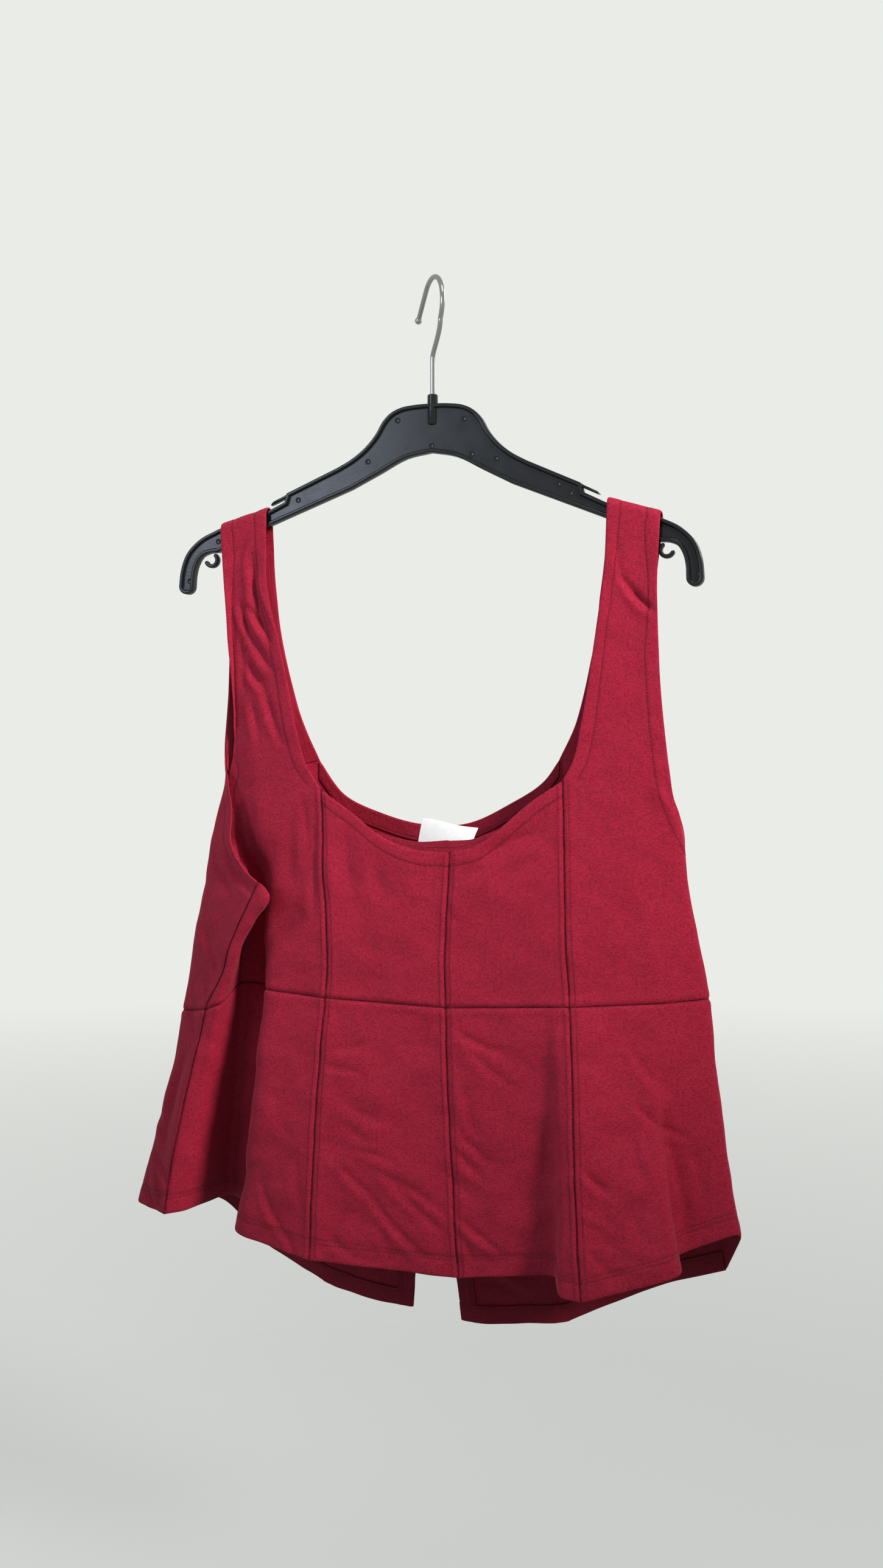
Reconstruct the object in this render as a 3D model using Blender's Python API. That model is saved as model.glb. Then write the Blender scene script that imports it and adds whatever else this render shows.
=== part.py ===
"""A sleeveless peplum top with wide straps, hung on a plastic hanger with a wire hook.

Run with: blender --background --python part.py

The cloth is a set of sewn panels. Lines run down the garment: seams, edges and the big folds.
Each line is a short table with one row for each level, and a panel is the wall stretched through
the lines it names. Sizes in the tables are millimetres; the scene is in metres, +Z up, with the
hanger along X, the back of the top towards -Y and the origin under the hook, where it hangs.
"""
import math

import bmesh
import bpy
import numpy as np

MM = 0.001

# Cloth
WALL = 1.2              # thickness of the knit
FACING_WALL = 0.9       # thickness of a turned edge
SEAM_GAP = 0.3          # between two pieces that meet
FACING_GAP = 0.35       # between a panel and what lies on it
FACING_LIFT = WALL / 2 + FACING_GAP + FACING_WALL / 2
EDGE_SETBACK = 0.6      # of a turned edge from the edge it is turned on
STRAP_BEND = 6.2        # radius of the strap where it goes over the hanger
HEM_TURN = 15.0         # width of the turned hem
NECK_TURN = 13.0        # width of the turned neck edge
SLIT_TURN = 14.0        # width of the turned edge of the split
LABEL_WALL = 0.8

# Hanger, in its own frame before it tips in the hook's socket
HANGER_DEPTH = 8.0
HANGER_TIP = 1.2        # degrees, right end down
SOCKET_Z = -95.0
RIM_WIDTH = 3.0
WEB_RECESS = 2.6
PRONG = ((116.0, -161.5), (135.5, -170.3))  # top edge of a strap prong, root and tip
FINGER = 3.2            # thickness of the prongs and of the small loops
LOOP_CENTRE = (188.0, -216.2)
LOOP_RADIUS = 4.9       # of its middle line
LOOP_ARC = (113.0, 355.0)  # degrees, from under the arm round to the loop's open tip
LOOP_DEPTH = 6.0
BOSS_RADIUS = 4.0
BOSS_BOTTOM = -114.0
COLLAR_RADIUS = 4.1
COLLAR_TOP = -90.0
BORE_RADIUS = 2.25
BORE_BOTTOM = -110.0

# Half of the hanger's outline. Columns: x outwards from the middle, z up.
HUB_AND_SHOULDER = [(0, -97.5), (14, -98), (26, -99.8), (34, -103.5), (40.5, -110), (46, -119.5),
                    (54.5, -129.5), (66.5, -138.8), (78.5, -145.2)]
NOTCH = [(121.5, -163.9), (123.5, -171), (141, -179.3)]
END_OUTSIDE = [(182, -191.5), (199, -199.8), (210, -211), (215, -225), (216.3, -237.5)]
END_TIP = (209.8, -237.5)   # centre of the end's round tip
END_INSIDE = [(203.3, -237.5), (202.7, -228), (200.5, -219.7), (196, -213), (190, -210.6),
              (182, -210)]
ARCH = [(142.5, -191.7), (66.5, -162.3), (43, -150.7), (19.5, -139.2), (0, -135.6)]

# Hook
WIRE_RADIUS = 1.9
HOOK_RADIUS = 22.4      # of the wire's centre line
HOOK_TURN = 52.0        # degrees from the hanger's plane to the hook's
HOOK_ARC = (-37.0, 135.0)  # degrees round the bend, from the swan neck to the tail
HOOK_TAIL = 26.0        # straight run to the ball
SHANK_TOP = -61.0
SHANK_BOTTOM = -108.0
BALL_RADIUS = 2.8
WIRE_SIDES = 10

# Levels: 0 strap at the hanger, 1 corner of the back neckline, 2 underarm, 3 waist seam, 4 hem.
# Columns of every line: level, x across, y deep, z up.
LINES = {
    # strap's inner edge down to the neckline's corner, then the princess seam
    "back_princess_left": [
        (0.0, -140, -6.2, -178), (0.3, -137, -11, -236), (0.6, -121, -15, -298),
        (0.8, -109, -17, -352), (0.92, -99, -18.5, -383), (1.0, -86, -20, -401),
        (1.5, -84, -23, -433), (2.0, -82.5, -26, -464), (2.5, -77, -31, -516),
        (3.0, -77, -34, -563), (3.33, -80, -42, -625), (3.7, -81, -51, -702),
        (4.0, -80.5, -58, -761)],
    "back_princess_right": [
        (0.0, 141, -6.2, -184.8), (0.3, 139, -10, -238), (0.6, 131, -15, -302),
        (0.8, 124, -18, -350), (0.92, 117.5, -20, -380), (1.0, 110, -21, -394),
        (1.5, 111.5, -24, -430), (2.0, 113, -28, -463), (2.5, 115, -32, -515),
        (3.0, 119, -36, -562), (3.33, 124, -48, -614), (3.7, 130, -65, -695),
        (4.0, 137, -77, -767.5)],
    "back_centre": [
        (1.0, 22, -26, -449), (2.0, 21, -29, -489), (2.5, 20, -32, -529),
        (3.0, 22, -35, -566.5), (3.33, 25, -40, -622), (3.7, 31, -46.5, -697),
        (4.0, 37, -52, -766)],
    # the turned flute beside the right princess seam of the back peplum
    "flute_hollow": [
        (3.0, 98, -35, -563), (3.33, 103, -39.5, -614.5), (3.7, 108, -43, -693),
        (4.0, 112, -45, -758)],
    "flute_ridge": [
        (3.0, 108, -36, -562.5), (3.33, 113, -47, -615), (3.7, 118, -62, -696),
        (4.0, 121, -74, -766)],
    "flute_fold": [
        (0.0, 157, -6.2, -189.7), (1.0, 152, -18, -396), (2.0, 158, -19, -465),
        (3.0, 172, -20, -559.5), (3.33, 179, -26.5, -606), (3.5, 186, -34, -648),
        (3.7, 195, -46, -690), (4.0, 208, -60, -747)],
    "flute_back": [
        (0.0, 164, -6.2, -191.8), (1.0, 166, -16, -396.5), (2.0, 172, -14.5, -465.5),
        (3.0, 184, -16, -559), (3.33, 187, -20, -606), (3.5, 187, -21, -646),
        (3.7, 187, -21, -690), (4.0, 195, -22, -743)],
    # armhole edges
    "back_armhole_left": [
        (0.0, -180, -6.2, -189), (0.3, -175, -9, -243), (0.6, -169.5, -8.5, -312),
        (0.8, -167, -6.5, -346), (0.9, -169.5, -4, -372), (1.0, -176, -2, -393),
        (1.3, -179, -2, -424), (1.6, -175, -4, -451), (1.8, -155, -16, -472),
        (1.9, -131, -32, -479), (2.0, -133, -37, -473.5)],
    "front_armhole_left": [
        (0.0, -180, 6.2, -189), (0.3, -177, 6, -247), (0.6, -177, 3, -318),
        (0.9, -177, -4, -378), (1.0, -173, -8, -391), (1.2, -167, -13.5, -415),
        (1.6, -162, -22, -447), (1.8, -150, -29, -463), (2.0, -133, -37, -473.5)],
    "back_armhole_right": [
        (0.0, 181, -6.2, -197.2), (0.3, 179.5, -10, -245), (0.6, 182, -12, -318),
        (0.8, 185.5, -11.5, -358), (1.0, 190, -9, -397), (1.3, 195, -3, -419),
        (1.6, 197, 6, -440), (1.8, 194, 13, -458), (2.0, 186, 18, -470)],
    "front_armhole_right": [
        (0.0, 181, 6.2, -197.2), (0.3, 174.5, 12, -248), (0.6, 173.5, 17, -318),
        (1.0, 178, 21, -396), (1.5, 183, 22, -440), (2.0, 186, 18, -470)],
    # side seams, below the armholes
    "side_left": [
        (2.0, -133, -37, -473.5), (2.25, -149, -35.5, -504), (2.5, -160, -33, -525),
        (2.75, -168, -29, -548), (3.0, -184, -24, -578), (3.33, -199, -25, -635),
        (3.7, -211, -28.5, -694), (4.0, -219, -30, -744)],
    "side_right": [
        (2.0, 186, 18, -470), (2.5, 197, 18, -515), (3.0, 205, 17, -558),
        (3.33, 210, 20, -616), (3.7, 217, 25, -694), (4.0, 225, 31, -766)],
    # the deep fold behind the left of the back: turn, bottom and near edge
    "left_turn": [
        (0.0, -170, -6.2, -186.5), (1.0, -170, -3.5, -393), (1.3, -174, -2.5, -423),
        (1.6, -170, -2, -449), (1.8, -157, -11, -469), (1.9, -138, -27, -476),
        (2.0, -123, -38, -484), (2.25, -134, -36.5, -503), (2.5, -146, -34, -522),
        (2.75, -157, -31, -546), (3.0, -170, -27, -572), (3.33, -184, -22, -632),
        (3.7, -196, -21, -694), (4.0, -205, -22, -742)],
    "left_gully": [
        (0.0, -163, -6.2, -184.5), (1.0, -163, -6, -394), (1.3, -168, -3, -424),
        (1.6, -167, 0, -450), (2.0, -163, 4, -470), (2.5, -165, 7, -518),
        (3.0, -168, 7, -558), (3.33, -174, 14, -625), (3.7, -183, 24, -694),
        (4.0, -190, 32, -739)],
    "left_tuck": [
        (0.0, -158, -6.2, -183), (1.0, -153, -10, -394.5), (1.5, -149, -8, -443),
        (2.0, -143, -3, -468), (2.5, -140, 0, -517), (3.0, -139.5, 3, -559),
        (3.33, -145, 3, -617), (3.7, -156.5, 10, -695), (4.0, -167.5, 16, -742)],
    "left_fold": [
        (0.0, -153, -6.2, -182), (1.0, -145, -13, -395), (1.5, -138, -14, -440),
        (2.0, -131, -15, -468), (2.5, -134, -23, -517), (3.0, -132, -29, -559),
        (3.33, -135.5, -36, -616), (3.7, -143, -42, -696), (4.0, -151, -45, -750)],
    # outer folds, where back and front part
    "left_outline": [
        (0.0, -173, 6.2, -187), (0.6, -172, 6, -317), (0.9, -176, 1, -380),
        (1.0, -180, 2, -395), (1.3, -189, 0.5, -421), (1.6, -196, 0, -448),
        (2.0, -203, 0, -478), (2.5, -212, 0, -527), (3.0, -221, 0, -583),
        (3.33, -231, 0, -634), (3.7, -248, 0, -692), (4.0, -262, -3, -742)],
    "right_outline": [
        (0.0, 171, -6.2, -194), (0.6, 173, -12.5, -317), (1.0, 182, -12.5, -397),
        (1.3, 191, -8, -419), (1.6, 197.5, -3, -440), (2.0, 202.5, 0, -467),
        (2.5, 211, 0, -513), (3.0, 219.5, 0, -556), (3.33, 225, 0, -613),
        (3.7, 235.5, 0, -688), (4.0, 243, 0, -727)],
    # front
    "front_princess_left": [
        (0.0, -140, 6.2, -178), (0.3, -139.5, 13, -238), (0.6, -133, 17.5, -292),
        (0.8, -121, 20.5, -340), (1.0, -105, 23.5, -378), (2.0, -108, 28, -458),
        (3.0, -112, 34, -576), (3.5, -116, 48, -700), (4.0, -118, 62, -814)],
    "front_princess_right": [
        (0.0, 141, 6.2, -184.8), (0.3, 133, 13, -240), (0.6, 124, 18, -296),
        (0.8, 112, 21, -345), (1.0, 97, 22.5, -377), (2.0, 92, 28, -456),
        (3.0, 78, 34, -572), (3.5, 86, 50, -702), (4.0, 95, 67, -828)],
    "front_slit_left": [
        (3.0, -18.5, 35, -577), (3.5, -27, 50, -704), (4.0, -38.5, 65, -829.5)],
    "front_slit_right": [
        (3.0, -15.5, 35, -577), (3.5, -7, 50, -707), (4.0, 4, 65, -836.5)],
    "front_middle_left": [
        (0.0, -160, 6.2, -183), (0.6, -155, 10, -306), (1.0, -150, 15, -390),
        (2.0, -160, 22, -470), (3.0, -172, 27, -582), (3.5, -188, 42, -680),
        (4.0, -208, 54, -746.5)],
    "front_low_left": [
        (0.0, -150, 6.2, -181), (0.6, -144, 14, -300), (1.0, -128, 20, -384),
        (2.0, -134, 25.5, -464), (3.0, -142, 31, -580), (3.5, -152, 46, -692), (4.0, -163, 60, -792)],
    "front_middle_right": [
        (0.0, 161, 6.2, -190.8), (1.0, 140, 23, -390), (2.0, 148, 26, -463),
        (3.0, 152, 29, -566), (3.5, 160, 44, -680), (4.0, 172, 55, -788)],
}

# Necklines between the princess seams. Columns: x across, y deep, z up.
BACK_SCOOP_LEFT = [(-86, -20, -401), (-58, -22, -420), (-37, -24, -435.5), (-7, -26, -447),
                   (22, -26, -449)]
BACK_SCOOP_RIGHT = [(22, -26, -449), (44, -26, -443.5), (60, -25, -432), (84, -23, -411.5),
                    (110, -21, -394)]
FRONT_SCOOP = [(-105, 23.5, -378), (-84.5, 25, -404.5), (-52, 27, -420), (-19, 28, -428.5),
               (19, 28, -428), (55, 26, -412.5), (85, 24, -393), (97, 22.5, -377)]

# How far the back's turned neck edge stands up behind it. Columns: x across, height.
NECK_EDGE_RISE = [(-86, -1.5), (-45, -1.5), (-20, 5), (20, 9.5), (48, 5.5), (66, -1.5), (110, -1.5)]

# Rows of a panel lie at these levels
STRAP_LEVELS = np.array([0.0, 0.15, 0.3, 0.45, 0.6, 0.75, 0.87, 0.94])
CHEST_LEVELS = np.array([1.0, 1.2, 1.4, 1.6, 1.75, 1.88, 2.0])
RIB_LEVELS = np.array([2.0, 2.2, 2.4, 2.6, 2.8, 3.0])
PEPLUM_LEVELS = np.linspace(3.0, 4.0, 7)
STRAP_TOP_ANGLES = np.radians([0.0, 30.0, 60.0])

BODY_LEVELS = np.concatenate([CHEST_LEVELS, RIB_LEVELS[1:]])
SIDE_LEVELS = np.concatenate([STRAP_LEVELS, BODY_LEVELS])

# Points between two lines of a panel before they are rounded, and how many are rounded together
FINE = 24
ROUNDING = 9

# Looks. Linear red, green and blue, then roughness and metal.
KNIT = ((0.330, 0.018, 0.045), 0.75, 0.0)
KNIT_INSIDE = ((0.250, 0.014, 0.034), 0.8, 0.0)
WOVEN_LABEL = ((0.80, 0.80, 0.79), 0.6, 0.0)
BLACK_PLASTIC = ((0.010, 0.010, 0.011), 0.3, 0.0)
CHROMED_WIRE = ((0.62, 0.61, 0.60), 0.12, 1.0)


def unit(v):
    """Each vector of an array, one long."""
    return v / np.maximum(np.linalg.norm(v, axis=-1, keepdims=True), 1e-9)


def smooth_through(at, known, values):
    """Values at places between known ones, on a curve that passes through each of them."""
    at = np.clip(at, known[0], known[-1])
    slope = np.gradient(values, known, axis=0)
    k = np.clip(np.searchsorted(known, at, side="right") - 1, 0, len(known) - 2)
    step = (known[k + 1] - known[k])[:, None]
    t = (at - known[k])[:, None] / step
    a, b = values[k], values[k + 1]
    ma, mb = slope[k] * step, slope[k + 1] * step
    return ((2 * t**3 - 3 * t**2 + 1) * a + (t**3 - 2 * t**2 + t) * ma
            + (3 * t**2 - 2 * t**3) * b + (t**3 - t**2) * mb)


def line(name, levels):
    """Points of a named line at the given levels. A princess line turns sharply at level 1."""
    table = np.array(LINES[name], dtype=float)
    if "princess" not in name:
        return smooth_through(levels, table[:, 0], table[:, 1:])
    above, below = table[table[:, 0] <= 1.0], table[table[:, 0] >= 1.0]
    strap = smooth_through(levels, above[:, 0], above[:, 1:])
    seam = smooth_through(levels, below[:, 0], below[:, 1:])
    return np.where((levels < 1.0)[:, None], strap, seam)


def side_edge(armhole, seam, levels):
    """A side panel's outer edge: the armhole down to the underarm, then the side seam."""
    upper = line(armhole, np.minimum(levels, 2.0))
    lower = line(seam, np.maximum(levels, 2.0))
    return np.where((levels <= 2.0)[:, None], upper, lower)


def curve_through(points, count):
    """Evenly spread points on a curve through a few points."""
    points = np.array(points, dtype=float)
    run = np.concatenate([[0.0], np.cumsum(np.linalg.norm(np.diff(points, axis=0), axis=1))])
    return smooth_through(np.linspace(0.0, run[-1], count), run, points)


def across(stations, counts):
    """Rows of a panel from its lines: straight from line to line, then rounded, then sampled.

    stations has a row for each level and a column for each line; counts says how many cells lie
    between each pair of lines. Rounding is a weighted mean of near points on the same row, with
    the row turned about its own end beyond it, so that a row's ends stay where they are.
    """
    t = np.arange(FINE) / FINE
    a, b = stations[:, :-1, None], stations[:, 1:, None]
    fine = (a + (b - a) * t[None, None, :, None]).reshape(len(stations), -1, 3)
    fine = np.concatenate([fine, stations[:, -1:]], axis=1)
    pad = ROUNDING
    before = 2 * fine[:, :1] - fine[:, pad:0:-1]
    after = 2 * fine[:, -1:] - fine[:, -2:-pad - 2:-1]
    padded = np.concatenate([before, fine, after], axis=1)
    weights = np.hanning(2 * pad + 3)[1:-1]
    weights = weights / weights.sum()
    size = fine.shape[1]
    rounded = sum(w * padded[:, k:k + size] for k, w in enumerate(weights))
    places = [0]
    for index, count in enumerate(counts):
        places += [round(FINE * (index + (n + 1) / count)) for n in range(count)]
    return rounded[:, places]


def patch(top, bottom, left, right):
    """A panel between four edge curves, which share their corners."""
    v = np.linspace(0.0, 1.0, len(left))[:, None, None]
    u = np.linspace(0.0, 1.0, len(top))[None, :, None]
    corners = ((1 - v) * ((1 - u) * top[0] + u * top[-1])
               + v * ((1 - u) * bottom[0] + u * bottom[-1]))
    return ((1 - v) * top[None] + v * bottom[None]
            + (1 - u) * left[:, None] + u * right[:, None] - corners)


def over_hanger(panel, side):
    """Adds the rows that take a strap up and over the hanger, as an arc. side is -1 at the back."""
    top = panel[0]
    arc = []
    for angle in STRAP_TOP_ANGLES:
        row = top.copy()
        row[:, 1] = side * (STRAP_BEND * math.sin(angle))
        row[:, 2] = top[:, 2] + STRAP_BEND * math.cos(angle)
        arc.append(row)
    return np.concatenate([np.array(arc), panel])


def grid_normals(panel):
    """A unit vector square to the cloth at each point of a grid."""
    down = np.gradient(panel, axis=0)
    along = np.gradient(panel, axis=1)
    return unit(np.cross(down, along))


def square_to(vectors, edge):
    """Unit vectors turned square to the edge that they stand on."""
    along = unit(np.gradient(edge, axis=0))
    return unit(vectors - (vectors * along).sum(-1, keepdims=True) * along)


def share_normals(first, first_edge, second, second_edge, rows):
    """Makes two panels agree where they meet, so that their edges run side by side."""
    a = first["normals"][-rows:, first_edge]
    b = second["normals"][-rows:, second_edge]
    mean = square_to(a + b, first["points"][-rows:, first_edge])
    first["normals"][-rows:, first_edge] = mean
    second["normals"][-rows:, second_edge] = mean


def share_waist(upper, lower):
    """The same along the waist seam, for a panel of the bodice and the one under it."""
    mean = square_to(upper["normals"][-1] + lower["normals"][0], lower["points"][0])
    upper["normals"][-1] = mean
    lower["normals"][0] = mean


def pull_in(points, amount):
    """Draws the four edges of a grid in, square to themselves, to leave a gap to its neighbour."""
    out = points.copy()
    for axis in (0, 1):
        view = np.moveaxis(out, axis, 0)
        source = np.moveaxis(points, axis, 0)
        for edge, inner in ((0, 1), (-1, -2)):
            view[edge] += square_to(source[inner] - source[edge], source[edge]) * amount
    return out


def clear_scene():
    for obj in list(bpy.data.objects):
        bpy.data.objects.remove(obj, do_unlink=True)


def material(name, look):
    colour, roughness, metallic = look
    mat = bpy.data.materials.new(name)
    mat.use_nodes = True
    shader = mat.node_tree.nodes["Principled BSDF"]
    shader.inputs["Base Color"].default_value = (*colour, 1.0)
    shader.inputs["Roughness"].default_value = roughness
    shader.inputs["Metallic"].default_value = metallic
    return mat


def add_object(name, vertices, faces, look):
    """An object from points in millimetres, with its faces turned outwards."""
    mesh = bpy.data.meshes.new(name)
    mesh.from_pydata((np.asarray(vertices) * MM).tolist(), [], faces)
    work = bmesh.new()
    work.from_mesh(mesh)
    bmesh.ops.recalc_face_normals(work, faces=work.faces)
    work.to_mesh(mesh)
    work.free()
    mesh.shade_smooth()
    mesh.set_sharp_from_angle(angle=math.radians(40))
    obj = bpy.data.objects.new(name, mesh)
    obj.data.materials.append(material(name, look))
    bpy.context.scene.collection.objects.link(obj)
    return obj


def wall(name, points, normals, thickness, look, lift=0.0):
    """A closed wall about a grid of points: two skins and a rim all round.

    The rim's triangles are split the same way along a row whichever side it is on, so that the
    twisted rims of two pieces at a seam stay side by side.
    """
    rows, cols = points.shape[:2]
    outer = points + normals * (lift + thickness / 2)
    inner = points + normals * (lift - thickness / 2)
    vertices = np.concatenate([outer.reshape(-1, 3), inner.reshape(-1, 3)])
    index = np.arange(rows * cols).reshape(rows, cols)
    skin = rows * cols
    faces = []
    for r in range(rows - 1):
        for c in range(cols - 1):
            a, b = int(index[r, c]), int(index[r, c + 1])
            d, e = int(index[r + 1, c]), int(index[r + 1, c + 1])
            faces.append((a, b, e, d))
            faces.append((a + skin, d + skin, e + skin, b + skin))
    rim = np.concatenate([index[0, :-1], index[:-1, -1], index[-1, :0:-1], index[:0:-1, 0]]).tolist()
    for k, a in enumerate(rim):
        low, high = sorted((a, rim[(k + 1) % len(rim)]))
        faces.append((low, low + skin, high + skin))
        faces.append((low, high + skin, high))
    return add_object(name, vertices, faces, look)


def side_panel(edge_lines, inner_lines, counts, side):
    """A side panel of the bodice with its half strap."""
    edge = side_edge(*edge_lines, SIDE_LEVELS)
    stations = [edge] + [line(name, SIDE_LEVELS) for name in inner_lines]
    points = over_hanger(across(np.stack(stations, axis=1), counts), side)
    normals = grid_normals(points)
    normals[0, :, 1] = 0.0  # both half straps end square to the hanger's plane
    normals[0] = unit(normals[0])
    return {"points": points, "normals": normals}


def centre_panel(left_line, right_line, scoop, waist_lines, cells):
    """A panel of the bodice under the neckline."""
    left = line(left_line, BODY_LEVELS)
    right = line(right_line, BODY_LEVELS)
    waist = np.array([line(name, np.array([3.0]))[0] for name in waist_lines])
    bottom = across(waist[None], cells)[0]
    points = patch(curve_through(scoop, len(bottom)), bottom, left, right)
    return {"points": points, "normals": grid_normals(points)}


def peplum_panel(names, counts):
    """A panel from the waist seam to the hem."""
    stations = np.stack([line(name, PEPLUM_LEVELS) for name in names], axis=1)
    points = across(stations, counts)
    return {"points": points, "normals": grid_normals(points)}


def garment_panels():
    """Every sewn panel as a grid of points, with its columns running from left to right."""
    left_back = ("back_armhole_left", "side_left")
    left_front = ("front_armhole_left", "side_left")
    right_back = ("back_armhole_right", "side_right")
    right_front = ("front_armhole_right", "side_right")
    fold = ["left_turn", "left_gully", "left_tuck", "left_fold", "back_princess_left"]
    flank = ["right_outline", "flute_back", "flute_fold", "back_princess_right"]
    wrap = ["left_outline", "front_middle_left", "front_low_left", "front_princess_left"]
    flute = ["back_centre", "flute_hollow", "flute_ridge", "back_princess_right"]
    panels = {
        "back_side_left": side_panel(left_back, fold, (2, 3, 2, 4, 4), -1),
        "back_side_right": side_panel(right_back, flank, (3, 3, 2, 4), -1),
        "front_side_left": side_panel(left_front, wrap, (4, 4, 2, 3), 1),
        "front_side_right": side_panel(right_front, ["front_middle_right", "front_princess_right"],
                                       (4, 4), 1),
        "back_centre_left": centre_panel("back_princess_left", "back_centre", BACK_SCOOP_LEFT,
                                         ["back_princess_left", "back_centre"], (8,)),
        "back_centre_right": centre_panel("back_centre", "back_princess_right", BACK_SCOOP_RIGHT,
                                          flute, (5, 2, 2)),
        "front_centre": centre_panel("front_princess_left", "front_princess_right", FRONT_SCOOP,
                                     ["front_princess_left", "front_slit_left",
                                      "front_slit_right", "front_princess_right"], (7, 1, 7)),
        "back_peplum_side_left": peplum_panel(["side_left"] + fold, (2, 3, 2, 4, 4)),
        "back_peplum_centre_left": peplum_panel(["back_princess_left", "back_centre"], (8,)),
        "back_peplum_centre_right": peplum_panel(flute, (5, 2, 2)),
        "back_peplum_side_right": peplum_panel(["side_right"] + flank, (3, 3, 2, 4)),
        "front_peplum_side_left": peplum_panel(["side_left"] + wrap, (4, 4, 2, 3)),
        "front_peplum_centre_left": peplum_panel(["front_princess_left", "front_slit_left"], (6,)),
        "front_peplum_centre_right": peplum_panel(["front_slit_right", "front_princess_right"],
                                                  (6,)),
        "front_peplum_side_right": peplum_panel(
            ["side_right", "front_middle_right", "front_princess_right"], (4, 4)),
    }
    for name in ("back_side_right", "back_peplum_side_right", "front_side_left", "front_centre",
                 "front_peplum_side_left", "front_peplum_centre_left",
                 "front_peplum_centre_right"):
        panels[name]["normals"] = -panels[name]["normals"]
    for name in ("back_{}side_left", "back_{}centre_left", "back_{}centre_right",
                 "back_{}side_right", "front_{}side_left", "front_{}side_right"):
        share_waist(panels[name.format("")], panels[name.format("peplum_")])
    for rows, arm, kind in ((len(BODY_LEVELS), len(RIB_LEVELS), ""),
                            (len(PEPLUM_LEVELS), len(PEPLUM_LEVELS), "peplum_")):
        back, front = "back_" + kind, "front_" + kind
        front_left = front + ("centre_left" if kind else "centre")
        front_right = front + ("centre_right" if kind else "centre")
        share_normals(panels[back + "side_left"], -1, panels[back + "centre_left"], 0, rows)
        share_normals(panels[back + "centre_left"], -1, panels[back + "centre_right"], 0, rows)
        share_normals(panels[back + "centre_right"], -1, panels[back + "side_right"], -1, rows)
        share_normals(panels[front + "side_left"], -1, panels[front_left], 0, rows)
        share_normals(panels[front_right], -1, panels[front + "side_right"], -1, rows)
        share_normals(panels[back + "side_left"], 0, panels[front + "side_left"], 0, arm)
        share_normals(panels[back + "side_right"], 0, panels[front + "side_right"], 0, arm)
    return panels


def turned(panel, edge):
    """A panel's grid seen from one of its edges, which becomes its first row."""
    move = {
        "top": lambda a: a,
        "hem": lambda a: a[::-1],
        "first": lambda a: np.swapaxes(a, 0, 1),
        "last": lambda a: np.swapaxes(a, 0, 1)[::-1],
    }[edge]
    return {key: move(value) for key, value in panel.items()}


def strip(panel, distances):
    """A band of a panel: for each column, the points that lie the given distances in from row 0.

    Each distance is one number or one for each column. One below 0 stands off the edge.
    """
    points, normals = panel["points"], panel["normals"]
    count = points.shape[1]
    steps = np.linalg.norm(np.diff(points, axis=0), axis=2)
    run = np.concatenate([np.zeros((1, count)), np.cumsum(steps, axis=0)])
    columns = np.arange(count)
    out_points, out_normals = [], []
    for distance in distances:
        distance = np.broadcast_to(distance, (count,))
        row = np.array([np.interp(distance[c], run[:, c], np.arange(len(points)))
                        for c in columns])
        low = np.minimum(row.astype(int), len(points) - 2)
        part = (row - low)[:, None]
        beyond = np.minimum(distance, 0.0)[:, None] * unit(points[1] - points[0])
        out_points.append(points[low, columns] * (1 - part) + points[low + 1, columns] * part
                          + beyond)
        out_normals.append(unit(normals[low, columns] * (1 - part)
                                + normals[low + 1, columns] * part))
    return {"points": np.array(out_points), "normals": np.array(out_normals)}


def joined(first, second):
    """Two panels side by side as one grid."""
    return {key: np.concatenate([first[key], second[key][:, 1:]], axis=1) for key in first}


def rows_of(panel, levels, wanted):
    """Only the rows of a side panel between two levels of the strap and body."""
    keep = np.concatenate([np.full(len(STRAP_TOP_ANGLES), False),
                           (levels >= wanted[0]) & (levels <= wanted[1])])
    return {key: value[keep] for key, value in panel.items()}


def facing(name, band):
    """A turned edge on the inside of a panel."""
    wall(name, band["points"], band["normals"], FACING_WALL, KNIT_INSIDE, lift=-FACING_LIFT)


def add_neck_facings(panels):
    """The turned neck edges that show: across the front, down its straps and behind the back."""
    turn = (EDGE_SETBACK, NECK_TURN / 2, NECK_TURN)
    facing("front_neck_facing", strip(panels["front_centre"], turn))
    for name in ("left", "right"):
        strap = rows_of(panels["front_side_" + name], SIDE_LEVELS, (0.15, 0.95))
        facing("front_neck_facing_" + name, strip(turned(strap, "last"), turn[::2]))
    arm = rows_of(panels["front_side_left"], SIDE_LEVELS, (0.15, 0.95))
    facing("front_armhole_facing_left", strip(turned(arm, "first"), turn[::2]))
    back = joined(panels["back_centre_left"], panels["back_centre_right"])
    edge = np.array(NECK_EDGE_RISE, dtype=float)
    rise = np.interp(back["points"][0, :, 0], edge[:, 0], edge[:, 1])
    facing("back_neck_facing", strip(back, (-rise, NECK_TURN / 2, NECK_TURN)))


def add_hem_facings(panels):
    """The front's turned hem, and the turned edges of its split above the hem."""
    left = joined(panels["front_peplum_side_left"], panels["front_peplum_centre_left"])
    right = joined(panels["front_peplum_centre_right"],
                   {key: value[:, ::-1] for key, value in panels["front_peplum_side_right"].items()})
    facing("front_hem_left", strip(turned(left, "hem"), (EDGE_SETBACK, HEM_TURN)))
    facing("front_hem_right", strip(turned(right, "hem"), (EDGE_SETBACK, HEM_TURN)))
    for name, edge in (("left", "last"), ("right", "first")):
        panel = turned(panels["front_peplum_centre_" + name], "hem")
        length = np.linalg.norm(np.diff(panel["points"], axis=0), axis=2).sum(axis=0)
        levels = [HEM_TURN + SEAM_GAP + share * (length - HEM_TURN - 4.0)
                  for share in np.linspace(0.0, 1.0, 6)]
        above_hem = strip(panel, levels)
        facing("front_slit_band_" + name,
               strip(turned(above_hem, edge), (EDGE_SETBACK, SLIT_TURN)))


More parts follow.
